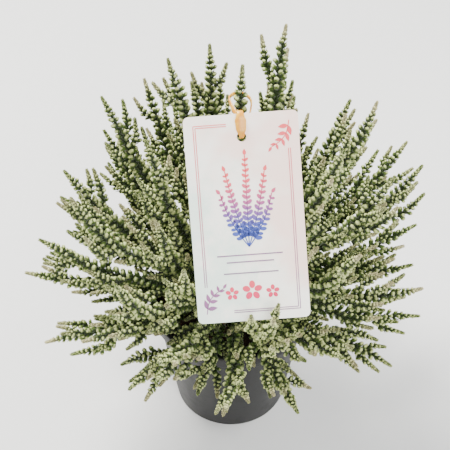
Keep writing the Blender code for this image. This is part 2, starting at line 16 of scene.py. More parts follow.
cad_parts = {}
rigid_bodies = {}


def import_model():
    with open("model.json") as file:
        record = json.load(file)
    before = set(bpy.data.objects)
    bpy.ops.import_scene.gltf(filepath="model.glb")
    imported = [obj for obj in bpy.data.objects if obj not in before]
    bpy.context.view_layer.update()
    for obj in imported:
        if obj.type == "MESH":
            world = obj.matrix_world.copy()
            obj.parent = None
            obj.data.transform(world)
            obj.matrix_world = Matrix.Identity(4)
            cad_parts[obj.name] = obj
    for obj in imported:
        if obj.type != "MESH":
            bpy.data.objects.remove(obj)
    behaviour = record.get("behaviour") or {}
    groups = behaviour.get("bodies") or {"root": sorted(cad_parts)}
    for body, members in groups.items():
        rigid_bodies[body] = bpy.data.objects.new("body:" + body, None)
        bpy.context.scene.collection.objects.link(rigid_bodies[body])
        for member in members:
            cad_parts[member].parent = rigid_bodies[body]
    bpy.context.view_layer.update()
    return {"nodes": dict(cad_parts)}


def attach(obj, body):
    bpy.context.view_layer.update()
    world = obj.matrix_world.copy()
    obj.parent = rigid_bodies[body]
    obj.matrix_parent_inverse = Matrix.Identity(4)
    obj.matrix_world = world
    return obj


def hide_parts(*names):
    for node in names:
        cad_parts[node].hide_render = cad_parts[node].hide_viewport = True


bl_info = {
    "name": "Potted heather",
    "version": (1, 0, 0),
    "blender": (4, 5, 0),
    "location": "3D View > Sidebar > Heather",
    "description": "Dresses the packed model of a potted heather with its foliage, pot, compost and label",
    "category": "Object",
}

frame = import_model()
BODY = "root"

# The gap between pieces that touch on the real thing
GAP = 0.0003

# Pot: a thin tapered nursery pot with a turned rim, a stacking ledge and a foot with drain holes
POT_HEIGHT = 0.093
POT_TOP_RADIUS = 0.0525
POT_FOOT_RADIUS = 0.0375
POT_WALL = 0.0012
RIM_HEIGHT = 0.0085
RIM_STAND_OUT = 0.0032
LEDGE_HEIGHT = 0.0075
LEDGE_STEP = 0.0016
EDGE_SOFTNESS = 0.0008
FOOT_RING_WIDTH = 0.0065
FOOT_RISE = 0.0025
FOOT_PAD_RADIUS = 0.012
DRAIN_HOLES = 6
DRAIN_HOLE_RADIUS = 0.0032
POT_SIDES = 32

# Compost: it fills the pot to a little under the rim
COMPOST_TOP = POT_HEIGHT - 0.011
COMPOST_RELIEF = 0.0011
COMPOST_EDGE_GAP = 0.0012
COMPOST_RINGS = (0.2, 0.42, 0.64, 0.84)
COMPOST_SEED = 4

# Woody crown: a short trunk, its limbs, and a twig to each leafy shoot
TRUNK_RADIUS = 0.0062
TRUNK_DEPTH = 0.016
TRUNK_STAND_OUT = 0.002
HEART = (0, 0, COMPOST_TOP + 0.003)
LIMBS = 7
LIMB_LENGTH = 0.013
LIMB_TILT = math.radians(42)
LIMB_RADIUS = 0.0029
TWIG_RADIUS = 0.0013
TWIG_END_LENGTH = 0.004

# Leafy shoots: they start at a distance from the heart of the crown and fan out by the golden angle
SHOOTS = 50
SHOOT_SEED = 9
GOLDEN_ANGLE = math.pi * (3 - math.sqrt(5))
LEAFY_FROM = (0.020, 0.028)
MIDDLE_LENGTH = 0.166
OUTER_LENGTH = 0.096
WIDEST_TILT = math.radians(98)
START_TILT_SHARE = 0.76
UPRIGHT_SHARE = 0.30
UPRIGHT_TILTS = (math.radians(45), math.radians(85))
TIP_LIFT = math.radians(22)
SWAY = 0.16
SIDE_SPIKES = (2, 3)
SIDE_STRETCH = (0.14, 0.70)
SIDE_LENGTHS = (0.020, 0.040)
SIDE_SHORTEST = 0.018
SIDE_LEAVING_ANGLE = math.radians(50)
SIDE_SPREAD = 0.10
SIDE_LIFT = 0.12
SIDE_APART = 0.0085
PATH_STEP = 0.003
CLEARANCE = 0.0007
MAIN_TRIES = 90
SIDE_TRIES = 40

# The spike's outline: how far its buds stand out, at distances from the tip, and the row pitch of the buds
SPIKE_DISTANCES = (0.0, 0.003, 0.009, 0.017, 0.034, 0.060)
SPIKE_RADII = (0.0003, 0.0011, 0.0018, 0.0030, 0.0041, 0.0046)
TIP_CONE = 0.008
LEAF_START_RADIUS = 0.0019
MAIN_START_LENGTH = 0.024
SIDE_START_LENGTH = 0.016

# Label: a stiff card that leans back in the shoots, with a punched hole and an elastic band
CARD_WIDTH = 0.062
CARD_LENGTH = 0.114
CARD_THICKNESS = 0.0006
CARD_CORNER = 0.003
CARD_HOLE_RADIUS = 0.0026
CARD_HOLE_FROM_TOP = 0.0125
CARD_LEAN = math.radians(37)
CARD_TURN = math.radians(4.2)
CARD_TOP = (0.004, -0.012, 0.257)
BAND_THICKNESS = 0.0009
BAND_WIDE = 0.0062
BAND_NARROW = 0.0026
BAND_STANDOFF = 0.0013
BAND_SAMPLES = 4
TIED_SHOOT_BEHIND = 0.0135
TIED_LOOP_RADIUS = 0.0060


def smooth(share):
    """An ease from 0 to 1 with level ends."""
    share = min(1.0, max(0.0, share))
    return share * share * (3 - 2 * share)


def unit(vector):
    return vector / np.linalg.norm(vector)


def heading(tilt, azimuth):
    """The direction that leans from the vertical by tilt, towards azimuth."""
    return np.array(
        (
            math.sin(tilt) * math.cos(azimuth),
            math.sin(tilt) * math.sin(azimuth),
            math.cos(tilt),
        )
    )


def wall_radius(height):
    """The outer radius of the pot's plain tapered wall at a height."""
    under_ledge = POT_TOP_RADIUS - RIM_STAND_OUT - LEDGE_STEP
    top = POT_HEIGHT - RIM_HEIGHT - LEDGE_HEIGHT
    return POT_FOOT_RADIUS + (under_ledge - POT_FOOT_RADIUS) * height / top


def pot_profile():
    """The closed section of the pot, from the middle underneath, out and up, over the rim and down inside."""
    rim = POT_HEIGHT - RIM_HEIGHT
    ledge = rim - LEDGE_HEIGHT
    neck = POT_TOP_RADIUS - RIM_STAND_OUT
    ring = POT_FOOT_RADIUS - FOOT_RING_WIDTH
    soft = EDGE_SOFTNESS
    return [
        (0, 0),
        (FOOT_PAD_RADIUS, 0),
        (FOOT_PAD_RADIUS + soft, FOOT_RISE),
        (ring - soft, FOOT_RISE),
        (ring, 0),
        (POT_FOOT_RADIUS - soft, 0),
        (wall_radius(soft), soft),
        (wall_radius(ledge), ledge),
        (neck - soft / 2, ledge + soft),
        (neck, rim),
        (POT_TOP_RADIUS - soft, rim),
        (POT_TOP_RADIUS, rim + soft),
        (POT_TOP_RADIUS, POT_HEIGHT - soft),
        (POT_TOP_RADIUS - soft, POT_HEIGHT),
        (neck + soft / 2 - POT_WALL / 2, POT_HEIGHT),
        (neck - POT_WALL, rim),
        (neck - POT_WALL - soft / 2, ledge + soft),
        (wall_radius(ledge) - POT_WALL, ledge),
        (wall_radius(FOOT_RISE) - POT_WALL, FOOT_RISE + POT_WALL),
        (0, FOOT_RISE + POT_WALL),
    ]


# How the shoots grow


def spike_radius(from_tip, from_start, start_length):
    """How far the buds stand out from the stem: they grow from its start, and shrink towards its tip."""
    by_tip = float(np.interp(from_tip, SPIKE_DISTANCES, SPIKE_RADII))
    by_start = LEAF_START_RADIUS + (SPIKE_RADII[-1] - LEAF_START_RADIUS) * smooth(from_start / start_length)
    return min(by_tip, by_start)


def card_frame():
    """The card's middle, and its directions to the right, up the card, and out of its printed face."""
    lean = np.array((0, math.sin(CARD_LEAN), math.cos(CARD_LEAN)))
    right = np.array((1.0, 0, 0)) * math.cos(CARD_TURN) + lean * math.sin(CARD_TURN)
    up = lean * math.cos(CARD_TURN) - np.array((1.0, 0, 0)) * math.sin(CARD_TURN)
    out = np.cross(right, up)
    return np.array(CARD_TOP) - up * CARD_LENGTH / 2, right, up, out


def limb_ends():
    """The direction and the end of each limb of the crown."""
    headings = [heading(0, 0)]
    headings += [heading(LIMB_TILT, 2 * math.pi * k / (LIMBS - 1)) for k in range(LIMBS - 1)]
    return headings, [np.array(HEART) + LIMB_LENGTH * way for way in headings]


def main_path(leafy_from, length, tilt, azimuth, lift, sways, phase):
    """The line of a leafy shoot: it rises steeply, arches out and turns up again at its tip."""
    steps = round(length / PATH_STEP)
    low, high = UPRIGHT_TILTS
    upright = UPRIGHT_SHARE * (1 - smooth((tilt - low) / (high - low)))
    points = [np.array(HEART) + leafy_from * heading(tilt * START_TILT_SHARE, azimuth)]
    for step in range(steps):
        share = (step + 0.5) / steps
        lean = tilt * (START_TILT_SHARE + (1 - START_TILT_SHARE) * smooth(share / 0.45))
        lean -= (lift + upright * tilt) * smooth((share - 0.35) / 0.5)
        drift = sways[0] * math.sin(5.0 * share + phase) + sways[1] * math.cos(4.0 * share + 2 * phase)
        way = unit(heading(lean, azimuth) + share * drift)
        points.append(points[-1] + PATH_STEP * way)
    return np.array(points)


def twig_path(leafy):
    """The line of the bare twig that carries a leafy shoot, from the limb that points nearest to it."""
    headings, ends = limb_ends()
    way = unit(leafy[0] - np.array(HEART))
    limb = int(np.argmax([way @ other for other in headings]))
    along = unit(leafy[1] - leafy[0])
    bend = leafy[0] - along * TWIG_END_LENGTH
    return np.array([ends[limb], (ends[limb] + bend) / 2, bend, leafy[0] - along * GAP])


def side_path(parent, at, length, around, turned=1.0):
    """The line of a side spike: it leaves its parent's line at a slant, then runs up beside it."""
    along = unit(parent[at + 1] - parent[at - 1])
    level = (0.0, 0.0, 1.0) if abs(along[2]) < 0.9 else (1.0, 0.0, 0.0)
    across = unit(np.cross(along, level))
    outward = across * math.cos(around) + np.cross(along, across) * math.sin(around)
    start = along * math.cos(SIDE_LEAVING_ANGLE) + outward * math.sin(SIDE_LEAVING_ANGLE)
    steps = round(length / PATH_STEP)
    points = [parent[at]]
    for step in range(steps):
        beside = min(at + step, len(parent) - 2)
        follow = unit(parent[beside + 1] - parent[beside]) + outward * SIDE_SPREAD
        follow[2] += SIDE_LIFT
        turned_up = turned * smooth((step + 0.5) / steps / 0.7)
        way = unit(start * (1 - turned_up) + unit(follow) * turned_up)
        points.append(points[-1] + PATH_STEP * way)
    return np.array(points)


def radii_along(path, start_length=MAIN_START_LENGTH):
    """The room that each point of a leafy line takes up."""
    run = np.arange(len(path)) * PATH_STEP
    return np.array([spike_radius(run[-1] - done, done, start_length) for done in run])


class Room:
    """What is already placed: no new leafy point may come nearer to it than the clearance."""

    def __init__(self):
        self.leafy = np.empty((0, 3))
        self.leafy_radii = np.empty(0)
        self.owners = np.empty(0, dtype=int)
        self.middle, self.right, self.up, self.out = card_frame()

    def add(self, points, radii, owner):
        self.leafy = np.vstack((self.leafy, points))
        self.leafy_radii = np.append(self.leafy_radii, radii)
        self.owners = np.append(self.owners, np.full(len(points), owner))

    def spare(self, points, radii, owner):
        """The least gap between these points and everything placed, save what has the same owner."""
        others = self.owners != owner
        far = np.linalg.norm(points[:, None] - self.leafy[others][None], axis=2)
        gap = (far - radii[:, None] - self.leafy_radii[others][None]).min()
        return min(gap, self.gap_to_card(points, radii), self.gap_to_pot(points, radii))

    def gap_to_card(self, points, radii):
        from_middle = points - self.middle
        over_side = np.maximum(np.abs(from_middle @ self.right) - CARD_WIDTH / 2, 0)
        over_end = np.maximum(np.abs(from_middle @ self.up) - CARD_LENGTH / 2, 0)
        off_face = np.abs(from_middle @ self.out) - CARD_THICKNESS / 2
        return (np.sqrt(over_side**2 + over_end**2 + off_face**2) - radii).min()

    def gap_to_pot(self, points, radii):
        """The gap to the rim, which is taken as a round bead, to the wall below it, and to the compost."""
        across = np.hypot(points[:, 0], points[:, 1])
        height = points[:, 2]
        bead = RIM_STAND_OUT / 2 + CLEARANCE
        from_bead = across - POT_TOP_RADIUS + RIM_STAND_OUT / 2
        gap = (np.hypot(from_bead, height - POT_HEIGHT + bead / 2) - radii - bead).min()
        low = height < POT_HEIGHT
        gap = min(gap, (np.abs(from_bead) - radii - 2 * bead)[low].min(initial=1))
        over = across < POT_TOP_RADIUS
        return min(gap, (height - COMPOST_TOP - COMPOST_RELIEF - radii)[over].min(initial=1))


def tied_path():
    """The shoot that carries the label: it rises behind the card and leans back a little at its tip."""
    start = np.array(HEART) + np.array((0.001, -0.006, LEAFY_FROM[0]))
    before = start + np.array((0, -0.002, 0.030))
    through = np.array(CARD_TOP) + np.array((0, TIED_SHOOT_BEHIND, -0.014))
    tip = through + np.array((0.0015, 0.0045, 0.034))
    knots = [start - (before - start), start, before, through, tip, tip + (tip - through)]
    fine = []
    for k in range(1, 4):
        fine += [catmull(knots[k - 1 : k + 3], share) for share in np.arange(0, 1, 0.02)]
    run = np.append(0, np.cumsum(np.linalg.norm(np.diff(fine, axis=0), axis=1)))
    wanted = np.arange(0, run[-1], PATH_STEP)
    return np.column_stack([np.interp(wanted, run, np.array(fine)[:, axis]) for axis in range(3)])


def catmull(four, share):
    """A point of the smooth curve through the middle two of four points."""
    a, b, c, d = four
    return 0.5 * (
        2 * b
        + (c - a) * share
        + (2 * a - 5 * b + 4 * c - d) * share**2
        + (3 * b - 3 * c + d - a) * share**3
    )


def grow_side_spikes(room, random, main, owner):
    """The side spikes of one shoot, each turned round its parent to where it has most room."""
    sides = []
    count = SIDE_SPIKES[owner % 2]
    for number in range(count):
        best = None
        for _ in range(SIDE_TRIES):
            share = (number + random.uniform(0.05, 0.95)) / count
            at = round(len(main) * (SIDE_STRETCH[0] + (SIDE_STRETCH[1] - SIDE_STRETCH[0]) * share))
            left = (len(main) - at) * PATH_STEP
            length = min(random.uniform(*SIDE_LENGTHS), left - TIP_CONE)
            path = side_path(main, at, length, random.uniform(0, 2 * math.pi))
            if length < SIDE_SHORTEST:
                continue
            radii = radii_along(path, SIDE_START_LENGTH)
            apart = np.linalg.norm(path[6:, None] - np.vstack([main, *sides])[None], axis=2).min()
            spare = room.spare(path[1:], radii[1:], owner)
            score = min(spare, 0.01) + 1.5 * min(apart, 0.02)
            if spare > CLEARANCE and apart > SIDE_APART and (best is None or score > best[0]):
                best = (score, path)
        if best:
            sides.append(best[1])
            room.add(best[1], radii_along(best[1], SIDE_START_LENGTH), owner)
    return sides


def grow_main(room, random, tilt, azimuth, owner):
    """One leafy line near its place in the golden-angle fan, or nothing where there is no room for it."""
    for attempt in range(MAIN_TRIES):
        loosen = 0.2 + attempt / 30
        lean = tilt + random.uniform(-0.07, 0.07) * loosen
        turn = azimuth + random.uniform(-0.10, 0.10) * loosen / max(0.35, math.sin(tilt))
        length = MIDDLE_LENGTH + (OUTER_LENGTH - MIDDLE_LENGTH) * (tilt / WIDEST_TILT) ** 1.3
        length *= random.uniform(0.86, 1.08) * (1 - 0.005 * attempt)
        lift = TIP_LIFT * random.uniform(0.3, 1.5) * smooth(tilt / WIDEST_TILT)
        sways = random.uniform(-SWAY, SWAY, (2, 3))
        leafy_from = random.uniform(*LEAFY_FROM)
        phase = random.uniform(0, 2 * math.pi)
        path = main_path(leafy_from, length, lean, turn, lift, sways, phase)
        radii = radii_along(path)
        if room.spare(path, radii, owner) > CLEARANCE:
            room.add(path, radii, owner)
            return path
    return None


def grow_shoots():
    """The line of each shoot's leading spike and those of its side spikes. The first carries the label."""
    random = np.random.default_rng(SHOOT_SEED)
    room = Room()
    tied = tied_path()
    band = band_line(tied)
    room.add(band, np.full(len(band), BAND_WIDE / 2), -1)
    room.add(tied, radii_along(tied), 0)
    mains = [tied]
    for number in range(1, SHOOTS):
        tilt = math.acos(1 - (1 - math.cos(WIDEST_TILT)) * (number + 0.5) / SHOOTS)
        path = grow_main(room, random, tilt, number * GOLDEN_ANGLE, len(mains))
        if path is not None:
            mains.append(path)
    shoots = [(tied, [])]
    for owner in range(1, len(mains)):
        shoots.append((mains[owner], grow_side_spikes(room, random, mains[owner], owner)))
    return shoots


def frames_along(path, stations):
    """The points of a line at shares of its length, its direction there, and two directions across it."""
    run = np.append(0, np.cumsum(np.linalg.norm(np.diff(path, axis=0), axis=1)))
    wanted = np.array(stations) * run[-1]
    points = np.column_stack([np.interp(wanted, run, path[:, axis]) for axis in range(3)])
    tangents = np.gradient(points, axis=0)
    tangents /= np.linalg.norm(tangents, axis=1)[:, None]
    across = np.cross(tangents[0], (0.31, 0.95, 0.1))
    frames = []
    for point, tangent in zip(points, tangents):
        across = unit(across - tangent * (across @ tangent))
        frames.append((point, tangent, across, np.cross(tangent, across)))
    return frames


def on_card(across, along, off=0.0):
    """A point by its place on the card: to the right of its middle, up it, and out from its printed face."""
    middle, right, up, out = card_frame()
    return middle + right * across + up * along + out * off


def card_outline():
    """The rounded rectangle of the card, anticlockwise round its middle."""
    points = []
    for right, up, first in [(1, -1, -90), (1, 1, 0), (-1, 1, 90), (-1, -1, 180)]:
        for k in range(CARD_CORNER_POINTS):
            angle = math.radians(first + 90 * k / (CARD_CORNER_POINTS - 1))
            x = right * (CARD_WIDTH / 2 - CARD_CORNER) + CARD_CORNER * math.cos(angle)
            y = up * (CARD_LENGTH / 2 - CARD_CORNER) + CARD_CORNER * math.sin(angle)
            points.append((x, y))
    return points


def band_knots(tied):
    """The band's line, with the direction of its width and how wide it is, at the points that shape it.

    It comes out of the hole, runs up the card's face and over its top edge, goes round the tied shoot
    behind the card, and comes back through the hole.
    """
    _, right, up, out = card_frame()
    top = CARD_LENGTH / 2
    hole = top - CARD_HOLE_FROM_TOP
    level = on_card(0, top - 0.004)[2]
    shoot = tied[int(np.argmin(np.abs(tied[:, 2] - level)))]
    side = np.array((TIED_LOOP_RADIUS, 0, 0))
    behind = np.array((0, TIED_LOOP_RADIUS, 0))
    rise = np.array((0, 0, 0.0015))
    stem = np.array((0, 0, 1.0))
    return [
        (on_card(0, hole + 0.0004, 0.0007), right, BAND_NARROW),
        (on_card(0, hole + 0.0045, BAND_STANDOFF), right, BAND_WIDE * 0.9),
        (on_card(0, hole + 0.0085, BAND_STANDOFF), right, BAND_WIDE),
        (on_card(0, top - 0.0008, BAND_STANDOFF), right, BAND_WIDE * 0.7),
        (on_card(0, top + BAND_STANDOFF, -0.0002), right, BAND_WIDE * 0.5),
        (on_card(-0.0022, top + 0.0002, -0.0036), unit(right + stem), BAND_NARROW),
        (shoot - side + rise, stem, BAND_NARROW),
        (shoot + behind, stem, BAND_NARROW),
        (shoot + side - rise, stem, BAND_NARROW),
        (on_card(0.0022, hole + 0.0030, -0.0042), unit(right + stem), BAND_NARROW),
        (on_card(0, hole - 0.0003, -0.0012), right, BAND_NARROW),
    ]


def band_rings(tied):
    """Rings along the whole band: middle, width direction and width."""
    knots = band_knots(tied)
    count = len(knots)
    rings = []
    for k in range(count):
        four = [knots[(k + step) % count] for step in (-1, 0, 1, 2)]
        for step in range(BAND_SAMPLES):
            share = step / BAND_SAMPLES
            middle = catmull([knot[0] for knot in four], share)
            width_way = unit(four[1][1] * (1 - share) + four[2][1] * share)
            width = four[1][2] * (1 - share) + four[2][2] * share
            rings.append((middle, width_way, width))
    return rings


def band_line(tied):
    """The middle line of the band."""
    return np.array([middle for middle, _, _ in band_rings(tied)])



# Helpers for materials, for trees of nodes and for meshes


class Value:
    """A number that varies over a surface or from point to point: an expression on it adds Math nodes."""

    def __init__(self, socket):
        self.socket = socket

    def combine(self, operation, first, second):
        tree = self.socket.node.id_data
        maths = tree.nodes.new("ShaderNodeMath")
        maths.operation = operation
        feed(tree, maths.inputs[0], first)
        feed(tree, maths.inputs[1], second)
        return Value(maths.outputs[0])

    def __add__(self, other):
        return self.combine("ADD", self, other)

    __radd__ = __add__

    def __sub__(self, other):
        return self.combine("SUBTRACT", self, other)

    def __rsub__(self, other):
        return self.combine("SUBTRACT", other, self)

    def __mul__(self, other):
        return self.combine("MULTIPLY", self, other)

    __rmul__ = __mul__

    def __truediv__(self, other):
        return self.combine("DIVIDE", self, other)

    def __rtruediv__(self, other):
        return self.combine("DIVIDE", other, self)

    def __pow__(self, other):
        return self.combine("POWER", self, other)


def feed(tree, socket, value):
    """Links a Value to a socket, or sets the socket to a plain number, vector, colour, name or data block."""
    if isinstance(value, Value):
        tree.links.new(value.socket, socket)
    else:
        socket.default_value = value


class Nodes:
    """Adds nodes to one tree: a node's type, its settings, and then the values or links of its sockets."""

    def __init__(self, tree):
        self.tree = tree

    def node(self, kind, settings=None, sockets=None, out=0):
        made = self.tree.nodes.new(kind)
        for name, value in (settings or {}).items():
            if name == "stops":
                set_stops(made.color_ramp, value)
            else:
                setattr(made, name, value)
        for name, value in (sockets or {}).items():
            feed(self.tree, made.inputs[name], value)
        return Value(made.outputs[out])

    def limited(self, value, low, high):
        """A value's place between low and high, from 0 to 1 and no further."""
        limits = {"Value": value, "From Min": low, "From Max": high}
        return self.node("ShaderNodeMapRange", {"interpolation_type": "SMOOTHSTEP"}, limits)

    def least(self, first, second):
        return self.node("ShaderNodeMath", {"operation": "MINIMUM"}, {0: first, 1: second})

    def noise(self, place, scale, detail=2.0, roughness=0.5, out="Fac"):
        sockets = {"Vector": place, "Scale": scale, "Detail": detail, "Roughness": roughness}
        return self.node("ShaderNodeTexNoise", sockets=sockets, out=out)


def set_stops(ramp, stops):
    """Gives a colour ramp its stops, from place to colour."""
    while len(ramp.elements) > 1:
        ramp.elements.remove(ramp.elements[-1])
    for number, (place, colour) in enumerate(stops):
        stop = ramp.elements[0] if number == 0 else ramp.elements.new(place)
        stop.position = place
        stop.color = (*colour, 1)


class Finish(Nodes):
    """A material, with a Principled shader that surface() feeds."""

    def __init__(self, name):
        self.material = bpy.data.materials.new(name)
        self.material.use_nodes = True
        super().__init__(self.material.node_tree)
        self.shader = self.tree.nodes["Principled BSDF"]
        self.place = self.node("ShaderNodeTexCoord", out="Object")

    def surface(self, sockets):
        for name, value in sockets.items():
            feed(self.tree, self.shader.inputs[name], value)
        return self.material

    def attribute(self, name):
        return self.node("ShaderNodeAttribute", {"attribute_name": name}, out="Fac")

    def scale_pattern(self, name, outward):
        """Overlapping scales in four ranks, from -1 in their gaps to 1 on them, by the stored way round a bead."""
        way = self.node("ShaderNodeAttribute", {"attribute_name": name}, out="Vector")
        split = self.tree.nodes.new("ShaderNodeSeparateXYZ")
        self.tree.links.new(way.socket, split.inputs[0])
        x, y = Value(split.outputs["X"]), Value(split.outputs["Y"])
        tier = self.node("ShaderNodeMath", {"operation": "SINE"}, {0: outward * SCALE_TIERS})
        return tier * (x * x - y * y)

    def mix(self, share, first, second, blend="MIX"):
        """A colour between two others."""
        settings = {"data_type": "RGBA", "blend_type": blend}
        sockets = {"Factor": share, 6: opaque(first), 7: opaque(second)}
        return self.node("ShaderNodeMix", settings, sockets, out=2)

    def bump(self, height, strength, distance, under=None):
        sockets = {"Height": height, "Strength": strength, "Distance": distance}
        if under:
            sockets["Normal"] = under
        return self.node("ShaderNodeBump", sockets=sockets)


def opaque(colour):
    return colour if isinstance(colour, Value) else (*colour[:3], 1)


class Growth(Nodes):
    """A geometry tree with named inputs, that turns the bare lines or faces of an object into its pieces."""

    def __init__(self, name):
        tree = bpy.data.node_groups.new(name, "GeometryNodeTree")
        super().__init__(tree)
        tree.is_modifier = True
        tree.interface.new_socket("Geometry", in_out="INPUT", socket_type="NodeSocketGeometry")
        tree.interface.new_socket("Geometry", in_out="OUTPUT", socket_type="NodeSocketGeometry")
        self.entry = tree.nodes.new("NodeGroupInput")
        self.geometry = Value(self.entry.outputs["Geometry"])

    def named(self, name, kind, default=None):
        """A named input of the tree."""
        socket = self.tree.interface.new_socket(name, in_out="INPUT", socket_type=kind)
        if default is not None:
            socket.default_value = default
        return Value(self.entry.outputs[name])

    def stored(self, name, kind="FLOAT"):
        return self.node("GeometryNodeInputNamedAttribute", {"data_type": kind}, {"Name": name})

    def random(self, low, high, seed):
        """A random number for each point, between low and high."""
        return self.node("FunctionNodeRandomValue", sockets={2: low, 3: high, "Seed": seed}, out=1)

    def vectors(self, operation, sockets):
        return self.node("ShaderNodeVectorMath", {"operation": operation}, sockets)

    def joined(self, pieces):
        """Several geometries as one."""
        join = self.tree.nodes.new("GeometryNodeJoinGeometry")
        for piece in pieces:
            self.tree.links.new(piece.socket, join.inputs[0])
        return Value(join.outputs[0])

    def finish(self, geometry, material):
        """Ends the tree: what it made becomes real faces with their material."""
        real = self.node("GeometryNodeRealizeInstances", sockets={"Geometry": geometry})
        made = self.node("GeometryNodeSetMaterial", sockets={"Geometry": real, "Material": material})
        leave = self.tree.nodes.new("NodeGroupOutput")
        self.tree.links.new(made.socket, leave.inputs[0])
        return self.tree


def grow_piece(obj, tree, inputs):
    """Runs a geometry tree on an object, and leaves the result as its plain mesh."""
    modifier = obj.modifiers.new("Growth", "NODES")
    modifier.node_group = tree
    for item in tree.interface.items_tree:
        if item.in_out == "INPUT" and item.name in inputs:
            modifier[item.identifier] = inputs[item.name]
    graph = bpy.context.evaluated_depsgraph_get()
    mesh = bpy.data.meshes.new_from_object(obj.evaluated_get(graph))
    obj.modifiers.clear()
    obj.data = mesh
    return obj


def object_of(name, points, faces, edges=(), finish=None):
    """A mesh object in the scene, made of points and faces, or of bare edges."""
    mesh = bpy.data.meshes.new(name)
    mesh.from_pydata([tuple(p) for p in points], list(edges), faces)
    mesh.update()
    obj = bpy.data.objects.new(name, mesh)
    bpy.context.scene.collection.objects.link(obj)
    if finish:
        mesh.materials.append(finish)
    return obj


def store(obj, name, values, kind="FLOAT"):
    """Stores one number or vector for each point of an object's mesh."""
    attribute = obj.data.attributes.new(name, kind, "POINT")
    field = "value" if kind == "FLOAT" else "vector"
    attribute.data.foreach_set(field, np.ravel(np.array(values, dtype=np.float32)))


def shade_smooth(obj, sharp_above=None):
    """Smooth shading, with the edges that turn by more than an angle kept sharp."""
    obj.data.shade_smooth()
    if sharp_above:
        obj.data.set_sharp_from_angle(angle=sharp_above)


def dressed(obj, slot, *nodes):
    """Puts a finished piece on the body and hides the solids that it stands for. The slot is not used."""
    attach(obj, BODY)
    if nodes:
        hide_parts(*nodes)


def linear(red, green, blue):
    """A colour of the display, from 0 to 255 each, as the linear colour that the materials use."""
    shares = (red / 255, green / 255, blue / 255)
    return tuple(c / 12.92 if c <= 0.04045 else ((c + 0.055) / 1.055) ** 2.4 for c in shares)


def colour_setting(name, description, red, green, blue):
    return FloatVectorProperty(
        name=name,
        description=description,
        subtype="COLOR",
        size=3,
        min=0,
        max=1,
        default=linear(red, green, blue),
    )


def length_setting(name, description, metres):
    return FloatProperty(
        name=name,
        description=description,
        default=metres,
        min=0,
        precision=5,
        subtype="DISTANCE",
        unit="LENGTH",
    )


# What a user would change


class FoliageSettings(bpy.types.PropertyGroup):
    bead_base: length_setting("Bead base", "Half width of a bead before it grows with its spike", 0.0005)
    row_pitch: length_setting("Row pitch", "Distance between the rows of beads on a grown spike", 0.0024)
    tip_pitch: length_setting("Tip pitch", "Distance between the rows of scales at a spike's tip", 0.0010)
    needle: length_setting("Leaf length", "Length of the green leaves between the beads", 0.0042)
    fuzz_depth: length_setting("Fuzz depth", "Depth of the fine felt on the leaves", 0.00012)
    # Partly the felt's own pale colour and partly painted highlight on the bead ends.
    bead_colour_and_highlight: colour_setting("Bead colour", "The pale felted end of a bead", 184, 192, 124)
    side_colour: colour_setting("Side colour", "The sides of a bead", 77, 97, 40)
    # Partly the real darker green of the leaves by the stem and partly painted shade between the beads.
    deep_colour_and_shade: colour_setting("Deep colour", "The leaves close to the stem", 34, 50, 13)
    old_colour: colour_setting("Old colour", "The grown leaves inside the plant", 48, 72, 18)
    tip_colour: colour_setting("Tip colour", "The tender tip of a spike", 214, 200, 156)
    seed: IntProperty(name="Seed", description="Which random shapes and places are drawn", default=5, min=0)


class PotSettings(bpy.types.PropertyGroup):
    sides: IntProperty(name="Sides", description="Faces round the pot", default=112, min=32, max=512)
    plastic: colour_setting("Plastic", "The pot's dark plastic", 10, 9, 9)
    scuff: colour_setting("Scuffs", "The paler plastic of scuffs and rubbed edges", 42, 40, 37)
    seam_rise: length_setting("Seam rise", "How far the mould's seams stand out of the wall", 0.00025)


class CompostSettings(bpy.types.PropertyGroup):
    damp: colour_setting("Damp compost", "The dark damp crumbs", 46, 34, 25)
    dry: colour_setting("Dry compost", "The paler dry crumbs and fibres", 116, 90, 66)
    crumbs: FloatProperty(name="Crumbs", description="Crumbs for each square metre", default=130000, min=0)
    crumb_size: length_setting("Crumb size", "The largest crumb's half width", 0.0013)
    seed: IntProperty(name="Seed", description="Which random crumbs are drawn", default=3, min=0)


class CrownSettings(bpy.types.PropertyGroup):
    bark: colour_setting("Bark", "The ridges of the bark", 128, 98, 72)
    cleft: colour_setting("Clefts", "The clefts of the bark", 58, 40, 28)
    seed: IntProperty(name="Seed", description="Which random bark and leaves are drawn", default=9, min=0)


class LabelSettings(bpy.types.PropertyGroup):
    card: colour_setting("Card", "The label's coated card", 252, 249, 238)
    blush: colour_setting("Blush", "The warm wash on the card", 250, 206, 192)
    mint: colour_setting("Mint", "The cool wash on the card", 196, 228, 214)
    mauve: colour_setting("Mauve ink", "The frame line and the sprigs", 132, 82, 130)
    blue: colour_setting("Blue ink", "The foot of the printed spray", 44, 66, 156)
    coral: colour_setting("Coral ink", "The head of the printed spray", 226, 70, 76)
    rose: colour_setting("Rose ink", "The printed flowers", 214, 22, 84)
    grey: colour_setting("Grey ink", "The printed rules", 104, 98, 112)
    amber: colour_setting("Band", "The elastic band", 208, 138, 14)


class StageSettings(bpy.types.PropertyGroup):
    floor: colour_setting("Floor", "The plain floor", 214, 214, 212)
    distance: length_setting("Camera distance", "From the camera to the middle of the plant", 0.66)
    elevation: FloatProperty(
        name="Camera elevation",
        description="How far down the camera looks",
        default=math.radians(46),
        subtype="ANGLE",
        unit="ROTATION",
    )
    view_angle: FloatProperty(
        name="View angle",
        description="The camera's angle of view",
        default=math.radians(22.8),
        subtype="ANGLE",
        unit="ROTATION",
    )


SETTINGS = {
    "heather_foliage": FoliageSettings,
    "heather_pot": PotSettings,
    "heather_compost": CompostSettings,
    "heather_crown": CrownSettings,
    "heather_label": LabelSettings,
    "heather_stage": StageSettings,
}


# Foliage: every row of a spike is a point, where the tree sets a pair of beads, or scales near the tip

